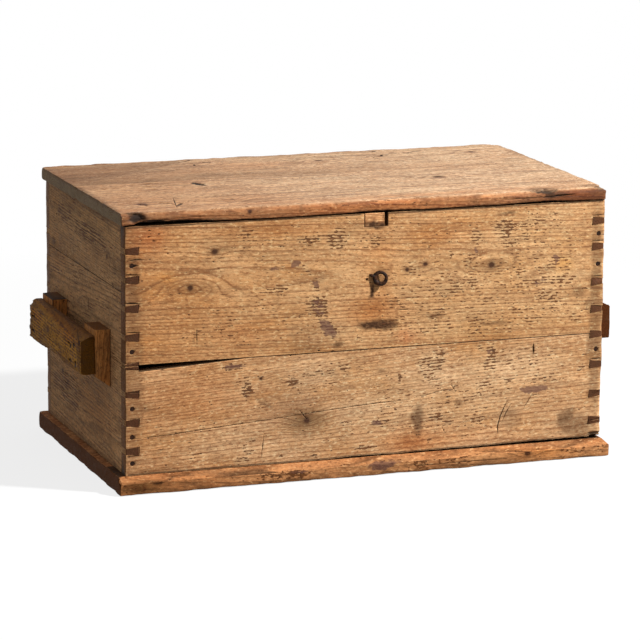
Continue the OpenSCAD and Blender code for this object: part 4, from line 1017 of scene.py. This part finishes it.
    # the sawn ends: darker, with the rings showing as arcs and short dry checks
    checkPlace = addNode(tree, "VectorMath", {"operation": "MULTIPLY", 1: (0, 1 / 3.2, 1 / 3.2)}, {0: wood})
    checks = addNode(tree, "TexNoise", {"Scale": 1, "Detail": 4, "Roughness": .7}, {"Vector": checkPlace})
    checkTone = addNode(tree, "MapRange", {"From Min": .3, "From Max": .7, "To Min": .5, "To Max": 1.25},
                        {"Value": checks})
    tones = {"data_type": "RGBA", 6: hexColour(look["end"]), 7: hexColour(look["late"])}
    endColour = addNode(tree, "Mix", tones, {0: late}, out=2)
    endColour = addNode(tree, "VectorMath", {"operation": "SCALE"}, {0: endColour, "Scale": checkTone})
    colour = addNode(tree, "Mix", {"data_type": "RGBA"}, {0: endGrain, 6: colour, 7: endColour}, out=2)
    colour = addNode(tree, "Mix", {"data_type": "RGBA", "blend_type": "MULTIPLY", 0: 1.0},
                     {6: colour, 7: tint}, out=2)

    # knots: dark red-brown hearts in a darker ring, with resin drawn out along the grain
    knotFar = addNode(tree, "VectorMath", {"operation": "MULTIPLY", 1: (1, 1, 0)}, {0: knotPlace})
    knotFar = addNode(tree, "VectorMath", {"operation": "LENGTH"}, {0: knotFar}, out=1)
    knotFar = addNode(tree, "Math", {"operation": "MULTIPLY_ADD", 1: .5}, {0: mottle, 2: knotFar})
    knotThere = addNode(tree, "SeparateXYZ", links={0: knotPlace}, out=2)
    knotHeart = addNode(tree, "ValToRGB", {"stops": [(0, 1.0), (.3, .95), (.42, .5), (.6, .18), (1, 0)]},
                        {0: addNode(tree, "Math", {"operation": "MULTIPLY", 1: 1 / 3.2}, {0: knotFar})})
    knotShare = addNode(tree, "Math", {"operation": "MULTIPLY"}, {0: knotHeart, 1: knotThere})
    colour = addNode(tree, "Mix", {"data_type": "RGBA", 7: hexColour("#3a1c0c")},
                     {0: knotShare, 6: colour}, out=2)

    # dirt and wax rubbed in, and water stains; the same stain marks also paint the eye's cast shadow
    grimeShare = addNode(tree, "MapRange", {"From Min": .48, "From Max": .78, "To Max": look["grime"] * 2.4},
                         {"Value": grain["grime"]})
    colour = addNode(tree, "Mix", {"data_type": "RGBA", 7: hexColour("#4f3722")},
                     {0: grimeShare, 6: colour}, out=2)
    stainAndShadowUneven = addNode(tree, "MapRange", {"From Min": .3, "From Max": .7, "To Min": .6, "To Max": 1.3},
                          {"Value": mottle})
    stainAndShadowShare = addNode(tree, "Math", {"operation": "MULTIPLY"}, {0: stainAndShadow, 1: stainAndShadowUneven})
    stainAndShadowShare = addNode(tree, "Math", {"operation": "MULTIPLY", 1: .95, "use_clamp": True}, {0: stainAndShadowShare})
    colour = addNode(tree, "Mix", {"data_type": "RGBA", 7: hexColour("#40250f")},
                     {0: stainAndShadowShare, 6: colour}, out=2)

    # old paint: dashes up to 9 by 4 mm, 40 by 3 mm on the end boards, caught in rows 6.4 mm apart
    rowAt = addNode(tree, "SeparateXYZ", links={0: wood}, out=1)
    rowAt = addNode(tree, "Math", {"operation": "MULTIPLY_ADD", 1: 1.6}, {0: wiggle, 2: rowAt})
    rowAt = addNode(tree, "Math", {"operation": "MULTIPLY_ADD", 1: .35}, {0: push, 2: rowAt})
    rowAt = addNode(tree, "Math", {"operation": "MULTIPLY", 1: 1 / 6.4}, {0: rowAt})
    rowAt = addNode(tree, "Math", {"operation": "FRACT"}, {0: rowAt})
    rowStops = [(0, 0.0), (.2, .3), (.42, 1.0), (.66, 1.0), (.85, .2), (1, 0.0)]
    rows = addNode(tree, "ValToRGB", {"stops": rowStops}, {0: rowAt})
    held = addNode(tree, "Math", {"operation": "ADD", 1: -1.09}, {0: grain["dash"]})
    held = addNode(tree, "Math", {"operation": "MULTIPLY_ADD", 1: .36}, {0: grain["clump"], 2: held})
    held = addNode(tree, "Math", {"operation": "MULTIPLY_ADD", 1: .2}, {0: rows, 2: held})
    held = addNode(tree, "Math", {"operation": "MULTIPLY_ADD", 1: .37}, {0: residue, 2: held})
    paint = addNode(tree, "MapRange", {"From Min": 0, "From Max": .04}, {"Value": held})
    paintTone = addNode(tree, "MapRange", {"From Min": .35, "From Max": .65}, {"Value": grit})
    tones = {"data_type": "RGBA", 6: hexColour("#3c1c0a"), 7: hexColour("#724522")}
    paintColour = addNode(tree, "Mix", tones, {0: paintTone}, out=2)
    paintShare = addNode(tree, "Math", {"operation": "MULTIPLY", 1: .92}, {0: paint})
    colour = addNode(tree, "Mix", {"data_type": "RGBA"}, {0: paintShare, 6: colour, 7: paintColour}, out=2)

    blotchEdge = addNode(tree, "Math", {"operation": "MULTIPLY_ADD", 1: 1.4, 2: -1.15}, {0: mottle})
    blotchEdge = addNode(tree, "Math", {"operation": "ADD"}, {0: blotchEdge, 1: blotch})
    blotchShare = addNode(tree, "MapRange", {"From Min": -.05, "From Max": .12, "To Max": .74},
                          {"Value": blotchEdge})
    colour = addNode(tree, "Mix", {"data_type": "RGBA", 7: hexColour("#68463a")},
                     {0: blotchShare, 6: colour}, out=2)

    # worm holes and pricks, about 3 mm wide, in loose crowds; real ones are 1 to 2 mm
    prickPlace = addNode(tree, "VectorMath", {"operation": "MULTIPLY", 1: (1 / 19, 1 / 12, 1 / 12)},
                         {0: wood})
    prick = addNode(tree, "TexVoronoi", {"Scale": 1}, {"Vector": prickPlace})
    prickChance = addNode(tree, "TexVoronoi", {"Scale": 1}, {"Vector": prickPlace}, out=1)
    prickChance = addNode(tree, "SeparateColor", links={0: prickChance})
    prickCrowd = addNode(tree, "MapRange", {"From Min": .4, "From Max": .66, "To Min": -.05, "To Max": .55},
                         {"Value": patch})
    prickThere = addNode(tree, "Math", {"operation": "LESS_THAN"}, {0: prickChance, 1: prickCrowd})
    prickShare = addNode(tree, "MapRange", {"From Min": .15, "From Max": .08, "To Max": .8}, {"Value": prick})
    prickShare = addNode(tree, "Math", {"operation": "MULTIPLY"}, {0: prickShare, 1: prickThere})
    colour = addNode(tree, "Mix", {"data_type": "RGBA", 7: hexColour("#4a2e1c")},
                     {0: prickShare, 6: colour}, out=2)
    # near black: painted shade in splits, holes and gaps, dirt in the joints, and darker damage
    shadeAndDirtShare = addNode(tree, "Math", {"operation": "MULTIPLY", 1: .97, "use_clamp": True}, {0: shadeAndDirt})
    colour = addNode(tree, "Mix", {"data_type": "RGBA", 7: hexColour("#1d120a")},
                     {0: shadeAndDirtShare, 6: colour}, out=2)

    # relief: the most that each pattern adds in mm, or takes away for pricks and knots
    height = addNode(tree, "Math", {"operation": "MULTIPLY", 1: .22}, {0: late})
    height = addNode(tree, "Math", {"operation": "MULTIPLY_ADD", 1: .3}, {0: fibre, 2: height})
    height = addNode(tree, "Math", {"operation": "MULTIPLY_ADD", 1: .7}, {0: mottle, 2: height})
    height = addNode(tree, "Math", {"operation": "MULTIPLY_ADD", 1: .8}, {0: grit, 2: height})
    height = addNode(tree, "Math", {"operation": "MULTIPLY_ADD", 1: .25}, {0: paint, 2: height})
    height = addNode(tree, "Math", {"operation": "MULTIPLY_ADD", 1: -.5}, {0: prickShare, 2: height})
    height = addNode(tree, "Math", {"operation": "MULTIPLY_ADD", 1: -.3}, {0: knotShare, 2: height})
    relief = addNode(tree, "Bump", {"Strength": 1, "Distance": .001}, {"Height": height})
    rough = addNode(tree, "MapRange", {"From Min": .3, "From Max": .7, "To Min": look["rough"] - .08,
                                       "To Max": look["rough"] + .12}, {"Value": mottle})
    surface = addNode(tree, "BsdfPrincipled", {"IOR": 1.5, "Specular IOR Level": look.get("shine", .2)},
                      {"Base Color": colour, "Roughness": rough, "Normal": relief})
    addNode(tree, "OutputMaterial", links={"Surface": surface})
    return material


# Wrought iron, forged at the fire and gone brown-black with rust: dull, pitted and a little scaly.
ironPlans = {
    "iron": {"name": "wrought_iron", "dark": "#1e120b", "rust": "#4d2e1b", "rough": .55, "metal": .35},
    "nails": {"name": "nail_iron", "dark": "#1c0e06", "rust": "#3c200f", "rough": .8, "metal": .1},
}


def ironFinish(look):
    material = bpy.data.materials.new(look["name"])
    material.use_nodes = True
    tree = material.node_tree
    tree.nodes.clear()
    place = addNode(tree, "TexCoord", out=3)
    scale = addNode(tree, "TexNoise", {"Scale": 160, "Detail": 5, "Roughness": .65}, {"Vector": place})
    pits = addNode(tree, "TexNoise", {"Scale": 620, "Detail": 3}, {"Vector": place})
    share = addNode(tree, "MapRange", {"From Min": .42, "From Max": .62}, {"Value": scale})
    tones = {"data_type": "RGBA", 6: hexColour(look["dark"]), 7: hexColour(look["rust"])}
    colour = addNode(tree, "Mix", tones, {0: share}, out=2)
    metal = addNode(tree, "MapRange", {"From Min": 0, "From Max": 1, "To Min": look["metal"], "To Max": .1},
                    {"Value": share})
    rough = addNode(tree, "MapRange", {"To Min": look["rough"], "To Max": .9}, {"Value": share})
    height = addNode(tree, "Math", {"operation": "MULTIPLY_ADD", 1: .5}, {0: pits, 2: scale})
    relief = addNode(tree, "Bump", {"Strength": .8, "Distance": .0006}, {"Height": height})
    surface = addNode(tree, "BsdfPrincipled", {"Specular IOR Level": .2},
                      {"Base Color": colour, "Metallic": metal, "Roughness": rough, "Normal": relief})
    addNode(tree, "OutputMaterial", links={"Surface": surface})
    return material


finishes = {key: pineFinish(look) for key, look in finishPlans.items()}
finishes.update({key: ironFinish(look) for key, look in ironPlans.items()})
slots = {part["node"]: part["material_slot"] for part in frame["record"]["subparts"]}
print("finishes made:", len(finishes))

for seed, (name, plan) in enumerate(boards.items()):
    piece = wornBoard(name, plan, seed + 1)
    piece["ringsPerMm"] = 1 / plan["ring"]
    print("board", name, len(piece.data.polygons), "faces")

# The eye that held the lost hasp: a ring forged from round bar, thicker where the smith closed it,
# turned a little to the left, with its tapered tang bent over on the board and driven in.
staplePlan = {"centre": (519.2, -6.4, 395.2), "radius": 11.3, "thick": 3.9, "turn": 24, "closedAt": 215,
              "tang": [(508.5, -3.4, 398, 3.6), (503.5, -1.8, 400, 3.2), (499, .6, 401, 2.2),
                       (497.5, 4, 401, 1.4)],
              "shank": [(509.5, -2.5, 393, 3.2), (509, 4, 392.5, 2.8), (509, 12, 392.5, 1.6)]}


def forgedBar(bm, path, closed, seed, sides=14):
    # a bar of changing thickness along a path of (x, y, z, radius), with hammered flats
    spots = np.array([p[:3] for p in path])
    ahead = np.roll(spots, -1, axis=0) - np.roll(spots, 1, axis=0) if closed else np.gradient(spots, axis=0)
    loops = []
    for index, place in enumerate(spots):
        along = Vector(ahead[index]).normalized()
        side = along.cross(Vector((0, 1, .02))).normalized()
        up = side.cross(along)
        turns = [2 * math.pi * i / sides for i in range(sides)]
        thick = path[index][3]
        ring = np.array([place + thick * (math.cos(t) * np.array(side) + math.sin(t) * np.array(up))
                         for t in turns])
        away = ring - place
        ring = place + away * (1 + .1 * waves(ring, 7, seed) + .05 * waves(ring, 3, seed + 1))[:, None]
        loops.append([bm.verts.new((p - corner) / 1000) for p in ring])
    pairs = list(zip(loops, loops[1:] + loops[:1])) if closed else list(zip(loops, loops[1:]))
    for first, second in pairs:
        for i in range(sides):
            bm.faces.new((first[i], first[(i + 1) % sides], second[(i + 1) % sides], second[i]))
    if not closed:
        bm.faces.new(loops[0])
        bm.faces.new(loops[-1])


def smoothPath(points, count):
    # evenly spaced places on the line through the points
    known = np.array(points)
    gaps = np.r_[0, np.cumsum(np.linalg.norm(np.diff(known[:, :3], axis=0), axis=1))]
    return [tuple(np.interp(t, gaps, known[:, i]) for i in range(4)) for t in np.linspace(0, gaps[-1], count)]


turn = math.radians(staplePlan["turn"])
eyeRing = []
for degree in range(0, 360, 8):
    t = math.radians(degree)
    out = staplePlan["radius"] * math.cos(t)
    thick = staplePlan["thick"] * (1 + .2 * math.cos(t - math.radians(staplePlan["closedAt"])))
    centre = staplePlan["centre"]
    eyeRing.append((centre[0] + out * math.cos(turn), centre[1] - out * math.sin(turn),
                    centre[2] + staplePlan["radius"] * math.sin(t), thick))
bm = bmesh.new()
forgedBar(bm, eyeRing, True, 301)
forgedBar(bm, smoothPath(staplePlan["tang"], 12), False, 305)
forgedBar(bm, smoothPath(staplePlan["shank"], 8), False, 309)
bmesh.ops.recalc_face_normals(bm, faces=bm.faces[:])
eyeMesh = bpy.data.meshes.new("forged_eye")
bm.to_mesh(eyeMesh)
bm.free()
eyeMesh.shade_smooth()
eye = bpy.data.objects.new("forged_eye", eyeMesh)
scene.collection.objects.link(eye)
eyeMesh.materials.append(finishes["iron"])
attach(eye, frame["nodes"]["eye_staple"]["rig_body"])
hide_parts("eye_staple")
print("forged eye", len(eyeMesh.polygons), "faces")

for name, node in frame["nodes"].items():
    if not node.hide_render:
        node.data.materials.clear()
        node.data.materials.append(finishes["nails" if slots[name] == "nail_iron" else "iron"])

def seenDirectly(tree):
    # 1 for rays from the camera, a shiny surface or clear glass
    seen = addNode(tree, "LightPath")
    for ray in (3, 6):
        seen = addNode(tree, "Math", {"operation": "MAXIMUM"},
                       {0: seen, 1: addNode(tree, "LightPath", out=ray)})
    return seen


# The floor is pale, and white to the camera; a soft shadow is left on it.
floorPlan = {"size": 30.0, "grey": "#8c8c8c", "white": .8}
floorMesh = bpy.data.meshes.new("floor")
reach = floorPlan["size"]
floorCorners = [(-reach, -reach, 0), (reach, -reach, 0), (reach, reach, 0), (-reach, reach, 0)]
floorMesh.from_pydata(floorCorners, [], [(0, 1, 2, 3)])
floor = bpy.data.objects.new("floor", floorMesh)
floor.location.z = -.0004
scene.collection.objects.link(floor)
paper = bpy.data.materials.new("pale_paper")
paper.use_nodes = True
paperTree = paper.node_tree
paperTree.nodes.clear()
seen = seenDirectly(paperTree)
spot = addNode(paperTree, "TexCoord", out=3)
farOff = addNode(paperTree, "VectorMath", {"operation": "LENGTH"}, {0: spot}, out=1)
whiteRange = {"From Min": 1.0, "From Max": 2.2, "To Min": floorPlan["white"], "To Max": 1}
whiteness = addNode(paperTree, "MapRange", whiteRange, {"Value": farOff})
whiteShare = addNode(paperTree, "Math", {"operation": "MULTIPLY"}, {0: seen, 1: whiteness})
matt = addNode(paperTree, "BsdfDiffuse", {"Color": hexColour(floorPlan["grey"])})
mattSeen = addNode(paperTree, "BsdfDiffuse", {"Color": hexColour("#ffffff")})
glow = addNode(paperTree, "Emission", {"Strength": 1.0})
both = addNode(paperTree, "MixShader", {}, {0: seen, 1: matt, 2: mattSeen})
both = addNode(paperTree, "MixShader", {}, {0: whiteShare, 1: both, 2: glow})
addNode(paperTree, "OutputMaterial", links={"Surface": both})
floorMesh.materials.append(paper)

# One fairly hard lamp from the right, as in the photograph, and a dim even room.
lightPlan = {"from": (.578, -.503, .643), "far": 5.0, "watts": 388, "width": .32, "room": .27}
world = bpy.data.worlds.new("room")
scene.world = world
world.use_nodes = True
worldTree = world.node_tree
worldTree.nodes.clear()
worldStrength = addNode(worldTree, "MapRange", {"To Min": lightPlan["room"], "To Max": 1.0},
                        {"Value": seenDirectly(worldTree)})
air = addNode(worldTree, "Background", {"Color": (1, 1, 1, 1)}, {"Strength": worldStrength})
addNode(worldTree, "OutputWorld", links={"Surface": air})
lampData = bpy.data.lights.new("softbox", "AREA")
lampData.shape = "SQUARE"
lampData.size = lightPlan["width"]
lampData.energy = lightPlan["watts"]
lamp = bpy.data.objects.new("softbox", lampData)
lamp.rotation_mode = "QUATERNION"
lamp.rotation_quaternion = Vector(lightPlan["from"]).to_track_quat("Z", "Y")
lamp.location = Vector((0, 0, .25)) + Vector(lightPlan["from"]).normalized() * lightPlan["far"]
scene.collection.objects.link(lamp)

# The camera's place, angles and lens were fitted to the chest's corners in the photograph.
cameraPlan = {"place": (-2.3856, -6.5647, 1.7437), "yaw": 19.9536, "down": 12.0358, "roll": .4511,
              "lens": 197.53}
yaw, down, roll = (math.radians(cameraPlan[k]) for k in ("yaw", "down", "roll"))
ahead = Vector((math.sin(yaw) * math.cos(down), math.cos(yaw) * math.cos(down), -math.sin(down)))
right = Vector((math.cos(yaw), -math.sin(yaw), 0))
above = right.cross(ahead)
across = right * math.cos(roll) + above * math.sin(roll)
upright = above * math.cos(roll) - right * math.sin(roll)
cameraData = bpy.data.cameras.new("camera")
cameraData.lens = cameraPlan["lens"]
cameraData.sensor_width = 36
cameraData.clip_end = 200
camera = bpy.data.objects.new("camera", cameraData)
camera.matrix_world = Matrix.Translation(cameraPlan["place"]) @ Matrix((across, upright,
                                                                        -ahead)).transposed().to_4x4()
scene.collection.objects.link(camera)
scene.camera = camera
scene.view_settings.view_transform = "Standard"
print("stage, light and camera set")
